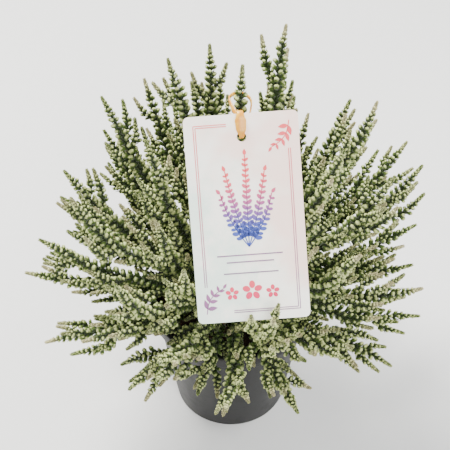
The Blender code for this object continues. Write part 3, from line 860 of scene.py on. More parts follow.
LEAFY_DISTANCES = (0.0, 0.0004, 0.0012, 0.0040, 0.0080, 0.0120, 0.0180, 0.0280, 0.0450, 0.0700)
LEAFY_RADII = (0.0010, 0.0012, 0.0014, 0.0015, 0.0019, 0.0028, 0.0038, 0.0047, 0.0054, 0.0058)
LEAFY_START_SHARE = 1.2
YOUNG_LENGTH = 0.022
STEM_RADIUS = 0.0009
STEM_SHARE = 0.82
STEM_TENDER = (0.004, 0.011)
INNER_REACH = (0.035, 0.115)
BEADS_FROM = 0.0036
SCALES_TO = 0.0060
LEAVES_FROM = 0.0100
BEAD_KINDS = 4
BEAD_RINGS = ((0.0, 0.34), (0.38, 0.76), (0.70, 1.0), (0.93, 0.68))
BEAD_POLE = 1.04
BEAD_SIDES = 5
PLAIN_RINGS = ((0.20, 0.50), (0.74, 1.0))
PLAIN_SIDES = 4
PLAIN_WITHIN = 0.052
BEAD_LEAN = (0.62, 1.15)
BEAD_CLOSENESS = 1.3
CLOSE_REACH = (0.003, 0.013)
BEAD_GROWTH = 0.215
BEAD_TURN = math.radians(97)
LENGTH_JITTER = (1.06, 1.34)
WHORL_LEAVES = 4
TIP_SCALES = 4
STEM_SIDES = 5
SCALE_RELIEF = 0.0006
SCALE_TIERS = 13.0

# Side spikes that the solids leave out: they fill the room between their neighbours, and may mingle with them
MORE_SPIKES = (8, 10)
MORE_FROM_TILT = (math.radians(45), math.radians(75))
MORE_SEED = 21
MORE_TRIES = 12
MORE_STRETCH = (0.08, 0.86)
MORE_LENGTHS = (0.011, 0.030)
MORE_SHORTEST = 0.010
MORE_CLEARANCE = -0.0024
MORE_APART = 0.0055
MORE_TURNED_UP = 0.72

# A few of them rise in front of the label's lower edge
FRONT_SPIKES = 3
FRONT_TRIES = 150
FRONT_LENGTHS = (0.020, 0.042)
FRONT_RISE = (0.004, 0.017)
FRONT_OFF = (0.002, 0.020)
FRONT_APART = 0.013


def whole_line(main):
    """A shoot's line from its limb: its bare twig, at the same steps, and then its leafy line."""
    twig = twig_path(main)
    run = np.append(0, np.cumsum(np.linalg.norm(np.diff(twig, axis=0), axis=1)))
    wanted = run[-1] - np.arange(0, run[-1], PATH_STEP)[:0:-1]
    bare = np.column_stack([np.interp(wanted, run, twig[:, axis]) for axis in range(3)])
    return np.vstack((bare, main))


def more_spikes(shoots):
    """The shoots with further side spikes, each set where it has most room. The low shoots get more of them."""
    random = np.random.default_rng(MORE_SEED)
    room = Room()
    for owner, (main, sides) in enumerate(shoots):
        room.add(main, radii_along(main), owner)
        for side in sides:
            room.add(side, radii_along(side, SIDE_START_LENGTH), owner)
    front = front_spikes(room, random, shoots)
    fuller = [shoots[0]]
    fewest, most = MORE_SPIKES
    steep, low = MORE_FROM_TILT
    for owner in range(1, len(shoots)):
        main, sides = shoots[owner]
        family = [whole_line(main), *sides, *front[owner]]
        tilt = math.acos(unit(main[-1] - main[0])[2])
        count = round(fewest + (most - fewest) * smooth((tilt - steep) / (low - steep)))
        for number in range(count):
            path = best_spike(room, random, family, owner, number / count, 1 / count)
            if path is not None:
                family.append(path)
                room.add(path, radii_along(path, SIDE_START_LENGTH), owner)
        fuller.append((main, family[1:]))
    return fuller


def front_spikes(room, random, shoots):
    """The side spikes that rise in front of the label's lower edge, by the number of the shoot that bears them."""
    found = []
    for owner in range(1, len(shoots)):
        main = shoots[owner][0]
        if main[-1][1] > -0.03:
            continue
        for _ in range(FRONT_TRIES):
            at = random.integers(len(main) // 3, len(main) - 3)
            path = side_path(main, at, random.uniform(*FRONT_LENGTHS), random.uniform(0, 2 * math.pi))
            radii = radii_along(path, SIDE_START_LENGTH)
            tip = path[-1] - room.middle
            rise = tip @ room.up + CARD_LENGTH / 2
            within = abs(tip @ room.right) < CARD_WIDTH / 2 - radii[0]
            before = FRONT_OFF[0] < tip @ room.out < FRONT_OFF[1]
            clear = min(room.gap_to_card(path, radii), room.gap_to_pot(path, radii)) > CLEARANCE
            if FRONT_RISE[0] < rise < FRONT_RISE[1] and within and before and clear:
                found.append((-rise, owner, tip @ room.right, path))
    found.sort(key=lambda spike: spike[0])
    front = {owner: [] for owner in range(len(shoots))}
    places = []
    for _, owner, place, path in found:
        if len(places) < FRONT_SPIKES and all(abs(place - other) > FRONT_APART for other in places):
            places.append(place)
            front[owner].append(path)
            room.add(path, radii_along(path, SIDE_START_LENGTH), owner)
    return front


def best_spike(room, random, family, owner, share, stretch):
    """The best of some random side spikes in one stretch of a shoot, or nothing where none has room."""
    parent = family[0]
    low, high = MORE_STRETCH
    best = None
    for _ in range(MORE_TRIES):
        at = max(1, round(len(parent) * (low + (high - low) * (share + stretch * random.uniform(0, 1)))))
        length = min(random.uniform(*MORE_LENGTHS), (len(parent) - at) * PATH_STEP - TIP_CONE)
        if length < MORE_SHORTEST:
            continue
        path = side_path(parent, at, length, random.uniform(0, 2 * math.pi), MORE_TURNED_UP)
        radii = radii_along(path, SIDE_START_LENGTH)
        if min(room.gap_to_card(path, radii), room.gap_to_pot(path, radii)) < CLEARANCE:
            continue
        others = room.owners != owner
        far = np.linalg.norm(path[:, None] - room.leafy[others][None], axis=2)
        spare = (far - radii[:, None] - room.leafy_radii[others][None]).min()
        apart = np.linalg.norm(path[3:, None] - np.vstack(family)[None], axis=2).min()
        score = min(spare, 0.01) + 1.5 * min(apart, 0.02)
        if spare > MORE_CLEARANCE and apart > MORE_APART and (best is None or score > best[0]):
            best = (score, path)
    return best[1] if best else None


SHOOT_LINES = more_spikes(grow_shoots())


def row_places(length, settings):
    """How far from its start each row of a spike sits: the rows draw together towards the tip."""
    from_tip = list(LEAFY_DISTANCES[:3])
    while from_tip[-1] < length:
        grown = smooth(from_tip[-1] / YOUNG_LENGTH)
        from_tip.append(from_tip[-1] + settings.tip_pitch + (settings.row_pitch - settings.tip_pitch) * grown)
    return length - np.array(from_tip[:-1])[::-1]


def leafy_reach(from_tip, from_start, start_length):
    """How far the dressed buds stand out: more than the solid's where the leaves of neighbours mingle."""
    by_start = spike_radius(SPIKE_DISTANCES[-1], from_start, start_length) * LEAFY_START_SHARE
    return min(float(np.interp(from_tip, LEAFY_DISTANCES, LEAFY_RADII)), by_start)


def spike_rows(lines, settings, random):
    """The rows of a shoot's spikes as points joined by edges, with what the tree needs to know at each."""
    points = []
    edges = []
    facts = {name: [] for name in ("along", "across", "reach", "stem", "from_tip", "age", "mood", "plain")}
    near, far = INNER_REACH
    for path, start_length in lines:
        length = (len(path) - 1) * PATH_STEP
        places = row_places(length, settings)
        first = len(points)
        mood = random.uniform(0, 1)
        for (point, tangent, across, _), place in zip(frames_along(path, places / length), places):
            from_tip = length - place
            reach = leafy_reach(from_tip, place, start_length)
            low, high = STEM_TENDER
            tender = 1 - smooth((from_tip - low) / (high - low))
            depth = np.linalg.norm(point - np.array(HEART))
            inner = 1 - smooth((depth - near) / (far - near))
            points.append(point)
            facts["along"].append(tangent)
            facts["across"].append(across)
            facts["reach"].append(reach)
            facts["stem"].append(STEM_RADIUS + (STEM_SHARE * reach - STEM_RADIUS) * tender)
            facts["from_tip"].append(from_tip)
            facts["age"].append(0.65 * inner + 0.35 * smooth(from_tip / YOUNG_LENGTH / 3))
            facts["mood"].append(mood)
            facts["plain"].append(float(depth < PLAIN_WITHIN))
        edges += [(k, k + 1) for k in range(first, len(points) - 1)]
    return points, edges, facts


def make_bead(name, rings, sides, random):
    """A bead one unit long and of unit half width: a short side shoot, closed to a soft round end."""
    points = []
    outward = []
    around = []
    for height, radius in rings:
        turn = random.uniform(-0.2, 0.2)
        for k in range(sides):
            angle = 2 * math.pi * k / sides + turn
            wide = radius * random.uniform(0.88, 1.12)
            points.append((wide * math.cos(angle), wide * math.sin(angle), height + random.uniform(-0.05, 0.05)))
            outward.append(height)
            around.append((math.cos(angle), math.sin(angle), 0))
    points.append((0, 0, BEAD_POLE))
    outward.append(1.0)
    around.append((0, 0, 0))
    faces = []
    last = (len(rings) - 1) * sides
    for k in range(sides):
        after = (k + 1) % sides
        for low in range(0, last, sides):
            high = low + sides
            faces.append((low + k, low + after, high + after, high + k))
        faces.append((last + k, last + after, len(points) - 1))
    bead = object_of(name, points, faces)
    # outward runs from the bead's foot to its end. The leaf finish colours the foot darker, partly as painted shade,
    # and the end paler, partly as painted highlight.
    store(bead, "outward", outward)
    store(bead, "around", around, "FLOAT_VECTOR")
    shade_smooth(bead)
    return bead


def make_whorl(name, leaves, spread, tip, half, tones, random):
    """A whorl of folded leaves round the stem, one unit long, that point up it, with the tones of foot and tip."""
    points = []
    faces = []
    for k in range(leaves):
        around = 2 * math.pi * (k + random.uniform(-0.12, 0.12)) / leaves
        rise = random.uniform(0.86, 1.14)
        spots = [
            (0.02, around, 0.0),
            (spread * 0.62, around - half, 0.46 * rise),
            (spread * 0.62, around + half, 0.46 * rise),
            (spread * 0.80, around, 0.42 * rise),
            (tip, around, rise),
        ]
        first = len(points)
        points += [(r * math.cos(a), r * math.sin(a), z) for r, a, z in spots]
        faces += [
            tuple(first + corner for corner in side) for side in [(0, 1, 3), (0, 3, 2), (1, 4, 3), (3, 4, 2)]
        ]
    whorl = object_of(name, points, faces)
    # The tones take the leaf's foot towards the deep colour and its tip towards the paler colours, partly as painted
    # shade and partly as painted highlight.
    store(whorl, "outward", [float(np.interp(z, (0, 1), tones)) for _, _, z in points])
    shade_smooth(whorl)
    return whorl


def kinds_of(name, pieces):
    """A collection of the shapes that a tree picks from."""
    group = bpy.data.collections.new(name)
    bpy.context.scene.collection.children.link(group)
    for piece in pieces:
        bpy.context.scene.collection.objects.unlink(piece)
        group.objects.link(piece)
    return group


def remove_kinds(group):
    for piece in list(group.objects):
        bpy.data.objects.remove(piece)
    bpy.data.collections.remove(group)


def spike_tree():
    """The tree that dresses the rows of a shoot: its stem, its beads, the leaves between and the tips."""
    grow = Growth("Heather spikes")
    beads = grow.named("Beads", "NodeSocketCollection")
    leaves = grow.named("Leaves", "NodeSocketObject")
    scales = grow.named("Tip scales", "NodeSocketObject")
    bead_base = grow.named("Bead base", "NodeSocketFloat", 0.0005)
    leaf_length = grow.named("Leaf length", "NodeSocketFloat", 0.004)
    seed = grow.named("Seed", "NodeSocketInt", 0)
    material = grow.named("Material", "NodeSocketMaterial")
    along = grow.stored("along", "FLOAT_VECTOR")
    across = grow.stored("across", "FLOAT_VECTOR")
    reach = grow.stored("reach")
    from_tip = grow.stored("from_tip")
    beaded = grow.node("FunctionNodeCompare", {"operation": "GREATER_THAN"}, {0: from_tip, 1: BEADS_FROM})
    scaly = grow.node("FunctionNodeCompare", {"operation": "LESS_THAN"}, {0: from_tip, 1: SCALES_TO})
    leafy = grow.node("FunctionNodeCompare", {"operation": "GREATER_THAN"}, {0: from_tip, 1: LEAVES_FROM})
    closeness = 1 - grow.limited(from_tip, *CLOSE_REACH)
    first_kind = grow.stored("plain") * BEAD_KINDS
    index = grow.node("GeometryNodeInputIndex")
    kinds = grow.node(
        "GeometryNodeCollectionInfo",
        sockets={"Collection": beads, "Separate Children": True, "Reset Children": True},
    )
    pieces = []
    for side in range(2):
        angle = index * BEAD_TURN + math.pi * side + grow.random(-0.30, 0.30, seed + side)
        turned_to = {"Vector": across, "Axis": along, "Angle": angle}
        outward = grow.node("ShaderNodeVectorRotate", sockets=turned_to)
        lean = grow.random(*BEAD_LEAN, seed + 2 + side) + closeness * BEAD_CLOSENESS
        way = grow.vectors("MULTIPLY_ADD", {0: along, 1: lean, 2: outward})
        half_width = (bead_base + reach * BEAD_GROWTH) * grow.random(0.86, 1.16, seed + 4 + side)
        length = reach * grow.random(*LENGTH_JITTER, seed + 6 + side) * (1 + closeness * 0.35)
        size = grow.node("ShaderNodeCombineXYZ", sockets={"X": half_width, "Y": half_width, "Z": length})
        turn = grow.node(
            "FunctionNodeAxesToRotation",
            {"primary_axis": "Z", "secondary_axis": "X"},
            {"Primary Axis": way, "Secondary Axis": along},
        )
        pick = grow.node(
            "FunctionNodeRandomValue",
            {"data_type": "INT"},
            {4: 0, 5: BEAD_KINDS - 1, "Seed": seed + 8 + side},
            out=2,
        )
        placed = {
            "Points": grow.geometry,
            "Selection": beaded,
            "Instance": kinds,
            "Pick Instance": True,
            "Instance Index": first_kind + pick,
            "Rotation": turn,
            "Scale": size,
        }
        pieces.append(grow.node("GeometryNodeInstanceOnPoints", sockets=placed))
    spin = grow.node(
        "ShaderNodeVectorRotate",
        sockets={"Vector": across, "Axis": along, "Angle": index * 2.4 + grow.random(-0.4, 0.4, seed + 10)},
    )
    upright = grow.node(
        "FunctionNodeAxesToRotation",
        {"primary_axis": "Z", "secondary_axis": "X"},
        {"Primary Axis": along, "Secondary Axis": spin},
    )
    leaf_size = grow.least(leaf_length, reach * 1.2) * grow.random(0.8, 1.15, seed + 11)
    pieces.append(
        grow.node(
            "GeometryNodeInstanceOnPoints",
            sockets={
                "Points": grow.geometry,
                "Selection": leafy,
                "Instance": grow.node("GeometryNodeObjectInfo", sockets={"Object": leaves}, out="Geometry"),
                "Rotation": upright,
                "Scale": leaf_size,
            },
        )
    )
    scale_size = grow.node(
        "ShaderNodeCombineXYZ", sockets={"X": reach, "Y": reach, "Z": reach * 0.6 + 0.0006}
    )
    pieces.append(
        grow.node(
            "GeometryNodeInstanceOnPoints",
            sockets={
                "Points": grow.geometry,
                "Selection": scaly,
                "Instance": grow.node("GeometryNodeObjectInfo", sockets={"Object": scales}, out="Geometry"),
                "Rotation": upright,
                "Scale": scale_size,
            },
        )
    )
    toned = grow.node(
        "GeometryNodeStoreNamedAttribute",
        {"data_type": "FLOAT", "domain": "INSTANCE"},
        {"Geometry": grow.joined(pieces), "Name": "tone", "Value": grow.random(0, 1, seed + 12)},
    )
    ring = grow.node("GeometryNodeCurvePrimitiveCircle", sockets={"Resolution": STEM_SIDES, "Radius": 1.0})
    line = grow.node("GeometryNodeMeshToCurve", sockets={"Mesh": grow.geometry})
    stem = grow.node(
        "GeometryNodeCurveToMesh",
        sockets={"Curve": line, "Profile Curve": ring, "Scale": grow.stored("stem"), "Fill Caps": True},
    )
    return grow.finish(grow.joined([toned, stem]), material)


def velvet_finish(settings):
    """Felted leaves: pale scaly bead ends, greener sides, deep green by the stem, and pinkish tips. The pale bead ends
    are partly painted highlight, and the deep green by the stem and the darker gaps between the scales are partly
    painted shade.
    """
    leaf = Finish("velvet_leaf")
    age = leaf.attribute("age")
    tone = leaf.attribute("tone")
    mood = leaf.attribute("mood")
    from_tip = leaf.attribute("from_tip")
    tender = 1 - leaf.limited(from_tip, 0.0015, 0.0110)
    outward = leaf.attribute("outward") * (1 - tender * 0.45) + tender * 0.45
    patches = leaf.noise(leaf.place, 38.0, 1.0)
    grains = leaf.noise(leaf.place, 1500.0, 2.0)
    # The scale pattern feeds the bump and is also painted into the colour, as light on the scales and shade in their
    # gaps.
    scales = leaf.scale_pattern("around", outward)
    # A bead's foot takes the deep colour, which is partly painted shade between the beads.
    side = leaf.mix(leaf.limited(outward, 0.25, 0.72), settings.deep_colour_and_shade, settings.side_colour)
    # The pale end of each bead is partly the felt's own colour and partly painted highlight. The scale pattern adds
    # painted light on the scales and painted shade in their gaps.
    pale = leaf.limited(outward + (grains - 0.5) * 0.25 + scales * 0.22 - age * 0.16, 0.62, 1.02)
    young_with_painted_light = leaf.mix(pale, side, settings.bead_colour_and_highlight)
    greener = leaf.limited(age + (patches - 0.5) * 0.5 + (mood - 0.5) * 0.2, 0.35, 1.0) * (1 - pale * 0.6)
    grown = leaf.mix(greener * 0.8, young_with_painted_light, settings.old_colour)
    pink = tender * leaf.limited(mood, 0.15, 0.95) * (0.35 + pale * 0.6)
    tipped = leaf.mix(pink, grown, settings.tip_colour)
    # The random tone and grain are the leaves' own. The scale term is painted light on the scales and painted shade in
    # their gaps.
    shade = 0.82 + tone * 0.26 + (grains - 0.5) * 0.14 + scales * 0.16
    shades = leaf.node("ShaderNodeCombineColor", sockets={"Red": shade, "Green": shade, "Blue": shade})
    colour = leaf.mix(1.0, tipped, shades, "MULTIPLY")
    felt = leaf.noise(leaf.place, 5200.0, 3.0, 0.65)
    scaly = leaf.bump(scales, 0.6, SCALE_RELIEF)
    return leaf.surface(
        {
            "Base Color": colour,
            "Roughness": 0.78 + grains * 0.18,
            "Normal": leaf.bump(felt, 0.7, settings.fuzz_depth, scaly),
            "Sheen Weight": 0.18,
            "Sheen Roughness": 0.45,
            "Sheen Tint": (0.95, 0.97, 0.84, 1),
            "Specular IOR Level": 0.2,
        }
    )


class MakeShoots(bpy.types.Operator):
    """Dresses each leafy shoot with its stem, its beads and its leaves"""

    bl_idname = "heather.make_shoots"
    bl_label = "Leafy shoots"

    def execute(self, context):
        settings = context.scene.heather_foliage
        random = np.random.default_rng(settings.seed)
        shapes = [(BEAD_RINGS, BEAD_SIDES)] * BEAD_KINDS + [(PLAIN_RINGS, PLAIN_SIDES)] * BEAD_KINDS
        beads = kinds_of("beads", [make_bead(f"bead_{k}", *shape, random) for k, shape in enumerate(shapes)])
        whorls = kinds_of(
            "whorls",
            [
                make_whorl("leaves", WHORL_LEAVES, 0.62, 0.78, 0.20, (0.0, 0.55), random),
                make_whorl("scales", TIP_SCALES, 1.10, 0.84, 0.62, (0.25, 1.1), random),
            ],
        )
        tree = spike_tree()
        leaf = velvet_finish(settings)
        for number, (main, sides) in enumerate(SHOOT_LINES, 1):
            node = f"shoot_{number:02d}"
            if node not in frame["nodes"]:
                raise RuntimeError(f"the packed model has no {node}")
            lines = [(main, MAIN_START_LENGTH)]
            lines += [(side, SIDE_START_LENGTH) for side in sides]
            points, edges, facts = spike_rows(lines, settings, random)
            piece = line_object(f"{node}_dressed", points, edges, facts)
            inputs = {
                "Beads": beads,
                "Leaves": whorls.objects["leaves"],
                "Tip scales": whorls.objects["scales"],
                "Bead base": settings.bead_base,
                "Leaf length": settings.needle,
                "Seed": settings.seed + 20 * number,
                "Material": leaf,
            }
            grow_piece(piece, tree, inputs)
            dressed(piece, "velvet_leaf", node)
        remove_kinds(beads)
        remove_kinds(whorls)
        return {"FINISHED"}


# Pot and compost

POT_SEAMS = 2
SEAM_HALF_ANGLE = 0.006
FINE_COMPOST_SIDES = 128
FINE_COMPOST_RINGS = 34


def turned(name, profile, sides, finish=None):
    """A closed solid turned round Z from a section whose first and last points lie on the axis."""
    points = [(0, 0, profile[0][1])]
    for radius, height in profile[1:-1]:
        for k in range(sides):
            angle = 2 * math.pi * k / sides
            points.append((radius * math.cos(angle), radius * math.sin(angle), height))
    points.append((0, 0, profile[-1][1]))
    rings = len(profile) - 2
    last = len(points) - 1
    faces = []
    for k in range(sides):
        after = (k + 1) % sides
        faces.append((0, 1 + after, 1 + k))
        for ring in range(rings - 1):
            low = 1 + ring * sides
            high = low + sides
            faces.append((low + k, low + after, high + after, high + k))
        end = 1 + (rings - 1) * sides
        faces.append((end + k, end + after, last))
    return object_of(name, points, faces, finish=finish)


def plastic_finish(settings):
    """Dark moulded plastic with faint flow marks, scuffs, and patches of dust."""
    plastic = Finish("pot_plastic")
    across = plastic.node("ShaderNodeMapping", sockets={"Vector": plastic.place, "Scale": (1, 1, 0.18)})
    flow = plastic.noise(across, 60.0, 3.0)
    scratch = plastic.noise(
        plastic.node("ShaderNodeMapping", sockets={"Vector": plastic.place, "Scale": (1, 1, 9)}), 210.0, 4.0
    )
    dust = plastic.noise(plastic.place, 45.0, 5.0, 0.62)
    scuffed = plastic.limited(scratch, 0.60, 0.74) * 0.45 + plastic.limited(dust, 0.52, 0.80) * 0.5
    colour = plastic.mix(scuffed, settings.plastic, settings.scuff)
    grain = plastic.noise(plastic.place, 1900.0, 2.0)
    return plastic.surface(
        {
            "Base Color": colour,
            "Roughness": 0.40 + flow * 0.16 + scuffed * 0.30,
            "Normal": plastic.bump(grain * 0.4 + flow, 0.35, 0.0002),
            "Specular IOR Level": 0.35,
        }
    )


def rounded(profile, soft):
    """A section with each sharp corner of its outline cut by a short round."""
    made = [profile[0]]
    for before, corner, after in zip(profile, profile[1:], profile[2:]):
        here = np.array(corner, dtype=float)
        back = np.array(before, dtype=float) - here
        on = np.array(after, dtype=float) - here
        reach_back, reach_on = np.linalg.norm(back), np.linalg.norm(on)
        cut = min(soft, 0.4 * reach_back, 0.4 * reach_on)
        start, end = here + back / reach_back * cut, here + on / reach_on * cut
        for share in (0.0, 0.5, 1.0):
            bend = (1 - share) ** 2 * start + 2 * share * (1 - share) * here + share**2 * end
            made.append(tuple(bend))
    return [*made, profile[-1]]


class MakePot(bpy.types.Operator):
    """Turns the dark nursery pot with its rim, ledge, mould seams and drain holes"""

    bl_idname = "heather.make_pot"
    bl_label = "Pot"

    def execute(self, context):
        settings = context.scene.heather_pot
        finish = plastic_finish(settings)
        pot = turned("pot_dressed", rounded(pot_profile(), EDGE_SOFTNESS / 2), settings.sides, finish)
        ring_radius = (FOOT_PAD_RADIUS + POT_FOOT_RADIUS - FOOT_RING_WIDTH) / 2
        cutters = []
        for k in range(DRAIN_HOLES):
            angle = 2 * math.pi * (k + 0.5) / DRAIN_HOLES
            bpy.ops.mesh.primitive_cylinder_add(
                vertices=32,
                radius=DRAIN_HOLE_RADIUS,
                depth=4 * FOOT_RISE,
                location=(ring_radius * math.cos(angle), ring_radius * math.sin(angle), FOOT_RISE),
            )
            cutters.append(bpy.context.object)
        for cutter in cutters:
            cut = pot.modifiers.new("Drain hole", "BOOLEAN")
            cut.operation = "DIFFERENCE"
            cut.solver = "MANIFOLD"
            cut.object = cutter
        graph = bpy.context.evaluated_depsgraph_get()
        pot.data = bpy.data.meshes.new_from_object(pot.evaluated_get(graph))
        pot.modifiers.clear()
        for cutter in cutters:
            bpy.data.objects.remove(cutter)
        self.raise_seams(pot, settings.seam_rise)
        shade_smooth(pot, math.radians(38))
        dressed(pot, "pot_plastic", "pot")
        return {"FINISHED"}

    def raise_seams(self, pot, rise):
        """Lifts the two lines where the halves of the mould met."""
        under = POT_HEIGHT - RIM_HEIGHT - LEDGE_HEIGHT
        for vertex in pot.data.vertices:
            x, y, z = vertex.co
            angle = math.atan2(y, x)
            apart = abs((angle + math.pi / 2) % math.pi - math.pi / 2)
            outside = math.hypot(x, y) > wall_radius(z) - POT_WALL / 2
            if apart < 2 * math.pi / 320 and outside and 0.004 < z < under:
                vertex.co.x += rise * math.cos(angle)
                vertex.co.y += rise * math.sin(angle)


def compost_finish(settings):
    """Peaty compost: dark damp ground with dry crumbs and fibres."""
    peat = Finish("compost")
    lumps = peat.noise(peat.place, 240.0, 5.0, 0.65)
    fibres = peat.noise(
        peat.node("ShaderNodeMapping", sockets={"Vector": peat.place, "Scale": (1, 6, 1)}), 420.0, 4.0, 0.6
    )
    dry = peat.limited(lumps, 0.50, 0.74) * 0.55 + peat.limited(fibres, 0.62, 0.78) * 0.5
    return peat.surface(
        {
            "Base Color": peat.mix(dry, settings.damp, settings.dry),
            "Roughness": 0.86 + lumps * 0.12,
            "Normal": peat.bump(lumps + fibres * 0.5, 0.9, 0.0007),
            "Specular IOR Level": 0.2,
        }
    )


def crumb(name, random):
    """A rough crumb of unit half width."""
    made = bmesh.new()
    bmesh.ops.create_icosphere(made, subdivisions=1, radius=1)
    for vertex in made.verts:
        vertex.co *= random.uniform(0.62, 1.0)
        vertex.co.z *= 0.7
    mesh = bpy.data.meshes.new(name)
    made.to_mesh(mesh)
    made.free()
    obj = bpy.data.objects.new(name, mesh)
    bpy.context.scene.collection.objects.link(obj)
    return obj


def crumb_tree():
    """The tree that strews crumbs over the compost."""
    grow = Growth("Compost crumbs")
    shapes = grow.named("Crumbs", "NodeSocketCollection")
    density = grow.named("Density", "NodeSocketFloat", 1000.0)
    size = grow.named("Crumb size", "NodeSocketFloat", 0.001)
    seed = grow.named("Seed", "NodeSocketInt", 0)
    material = grow.named("Material", "NodeSocketMaterial")
    strewn = grow.node(
        "GeometryNodeDistributePointsOnFaces",
        sockets={"Mesh": grow.geometry, "Density": density, "Seed": seed},
    )
    kinds = grow.node(
        "GeometryNodeCollectionInfo",
        sockets={"Collection": shapes, "Separate Children": True, "Reset Children": True},
    )
    turn = grow.node(
        "FunctionNodeRandomValue", {"data_type": "FLOAT_VECTOR"}, {0: (0, 0, 0), 1: (6.28, 6.28, 6.28), "Seed": seed}
    )
    placed = {
        "Points": strewn,
        "Instance": kinds,
        "Pick Instance": True,
        "Rotation": turn,
        "Scale": size * grow.random(0.2, 1.0, seed + 1) ** 2,
    }
    return grow.finish(grow.node("GeometryNodeInstanceOnPoints", sockets=placed), material)


class MakeCompost(bpy.types.Operator):
    """Fills the pot with crumbly compost"""

    bl_idname = "heather.make_compost"
    bl_label = "Compost"

    def execute(self, context):
        settings = context.scene.heather_compost
        random = np.random.default_rng(settings.seed)
        finish = compost_finish(settings)
        hole = TRUNK_RADIUS + GAP
        edge = POT_TOP_RADIUS - RIM_STAND_OUT - POT_WALL - GAP - COMPOST_EDGE_GAP
        ledge = POT_HEIGHT - RIM_HEIGHT - LEDGE_HEIGHT - EDGE_SOFTNESS
        under = FOOT_RISE + POT_WALL + GAP
        inside = POT_WALL + GAP
        section = [(0, under), (wall_radius(under) - inside, under), (wall_radius(ledge) - inside, ledge)]
        rings = np.linspace(edge, hole, FINE_COMPOST_RINGS)
        section += [(radius, COMPOST_TOP) for radius in rings]
        section += [(hole, COMPOST_TOP - TRUNK_DEPTH), (0, COMPOST_TOP - TRUNK_DEPTH)]
        ground = turned("compost_dressed", section, FINE_COMPOST_SIDES, finish)
        first = 1 + 2 * FINE_COMPOST_SIDES
        last = first + FINE_COMPOST_RINGS * FINE_COMPOST_SIDES
        for vertex in ground.data.vertices[first:last]:
            x, y, _ = vertex.co
            swell = math.sin(210 * x + 1) * math.sin(190 * y + 2) + 0.6 * math.sin(430 * x - 350 * y)
            vertex.co.z += COMPOST_RELIEF * (0.45 * swell + 0.35 * random.uniform(-1, 1))
        shade_smooth(ground)
        dressed(ground, "compost", "compost")
        top = turned("crumbs", [(0, COMPOST_TOP), *[(r, COMPOST_TOP) for r in rings[::-1]], (0, COMPOST_TOP)], 24)
        keep_top(top, hole)
        shapes = kinds_of("crumb_kinds", [crumb(f"crumb_{k}", random) for k in range(4)])
        inputs = {
            "Crumbs": shapes,
            "Density": settings.crumbs,
            "Crumb size": settings.crumb_size,
            "Seed": settings.seed,
            "Material": finish,
        }
        crumbs = grow_piece(top, crumb_tree(), inputs)
        remove_kinds(shapes)
        dressed(crumbs, "compost")
        return {"FINISHED"}


def keep_top(obj, hole):
    """Keeps the level faces of a turned disc outside the trunk's hole."""
    made = bmesh.new()
    made.from_mesh(obj.data)
    inner = [f for f in made.faces if math.hypot(*f.calc_center_median().xy) < hole]
    bmesh.ops.delete(made, geom=inner, context="FACES")
    made.to_mesh(obj.data)
    made.free()


# Woody crown

BARK_STEP = 0.0010
BARK_SIDES = 9
BARK_RELIEF = 0.00035
CROWN_LEAF_LENGTH = 0.0040


def crown_lines(shoots):
    """The lines of the trunk and the limbs, and those of the twigs, each with its radius at both ends."""
    heart = np.array(HEART)
    low = np.array((0, 0, COMPOST_TOP - TRUNK_DEPTH))
    wood = [(np.array([low, heart + np.array((0, 0, TRUNK_STAND_OUT))]), TRUNK_RADIUS * 0.9, TRUNK_RADIUS * 0.7)]
    for way, end in zip(*limb_ends()):
        line = np.array([heart - way * LIMB_RADIUS, (heart + end) / 2, end + way * TWIG_RADIUS])
        wood.append((line, LIMB_RADIUS, LIMB_RADIUS * 0.72))
    twigs = [(twig_path(path), TWIG_RADIUS, STEM_RADIUS) for path, _ in shoots]
    return wood, twigs


def fine_lines(lines, step):
    """Lines as points joined by edges a step apart, with the direction, an across direction and the radius."""
    points = []
    edges = []
    facts = {"along": [], "across": [], "stem": [], "age": []}
    for path, start_radius, end_radius in lines:
        length = np.linalg.norm(np.diff(path, axis=0), axis=1).sum()
        stations = np.linspace(0, 1, max(3, round(length / step)))
        first = len(points)
        for share, (point, tangent, across, _) in zip(stations, frames_along(path, stations)):
            points.append(point)
            facts["along"].append(tangent)
            facts["across"].append(across)
            facts["stem"].append(start_radius + (end_radius - start_radius) * share)
            facts["age"].append(1.0)
        edges += [(k, k + 1) for k in range(first, len(points) - 1)]
    return points, edges, facts


def line_object(name, points, edges, facts):
    """An object of bare lines, which carries its facts as attributes."""
    obj = object_of(name, points, [], edges)
    for fact, values in facts.items():
        store(obj, fact, values, "FLOAT_VECTOR" if fact in ("along", "across") else "FLOAT")
    return obj


def bark_tree():
    """The tree that gives lines their bark: a tube of the stored radius, roughened along its length."""
    grow = Growth("Bark")
    sides = grow.named("Sides", "NodeSocketInt", 8)
    relief = grow.named("Relief", "NodeSocketFloat", 0.0003)
    material = grow.named("Material", "NodeSocketMaterial")
    ring = grow.node("GeometryNodeCurvePrimitiveCircle", sockets={"Resolution": sides, "Radius": 1.0})
    line = grow.node("GeometryNodeMeshToCurve", sockets={"Mesh": grow.geometry})
    tube = grow.node(
        "GeometryNodeCurveToMesh",
        sockets={"Curve": line, "Profile Curve": ring, "Scale": grow.stored("stem"), "Fill Caps": True},
    )
    place = grow.node("GeometryNodeInputPosition")
    stretched = grow.vectors("MULTIPLY", {0: place, 1: (1, 1, 0.4)})
    ridges = grow.noise(stretched, 700.0, 3.0, 0.6) - 0.5
    off = grow.vectors("SCALE", {0: grow.node("GeometryNodeInputNormal"), "Scale": ridges * 2.4 * relief})
    rough = grow.node("GeometryNodeSetPosition", sockets={"Geometry": tube, "Offset": off})
    smooth_shaded = grow.node("GeometryNodeSetShadeSmooth", sockets={"Geometry": rough})
    return grow.finish(smooth_shaded, material)


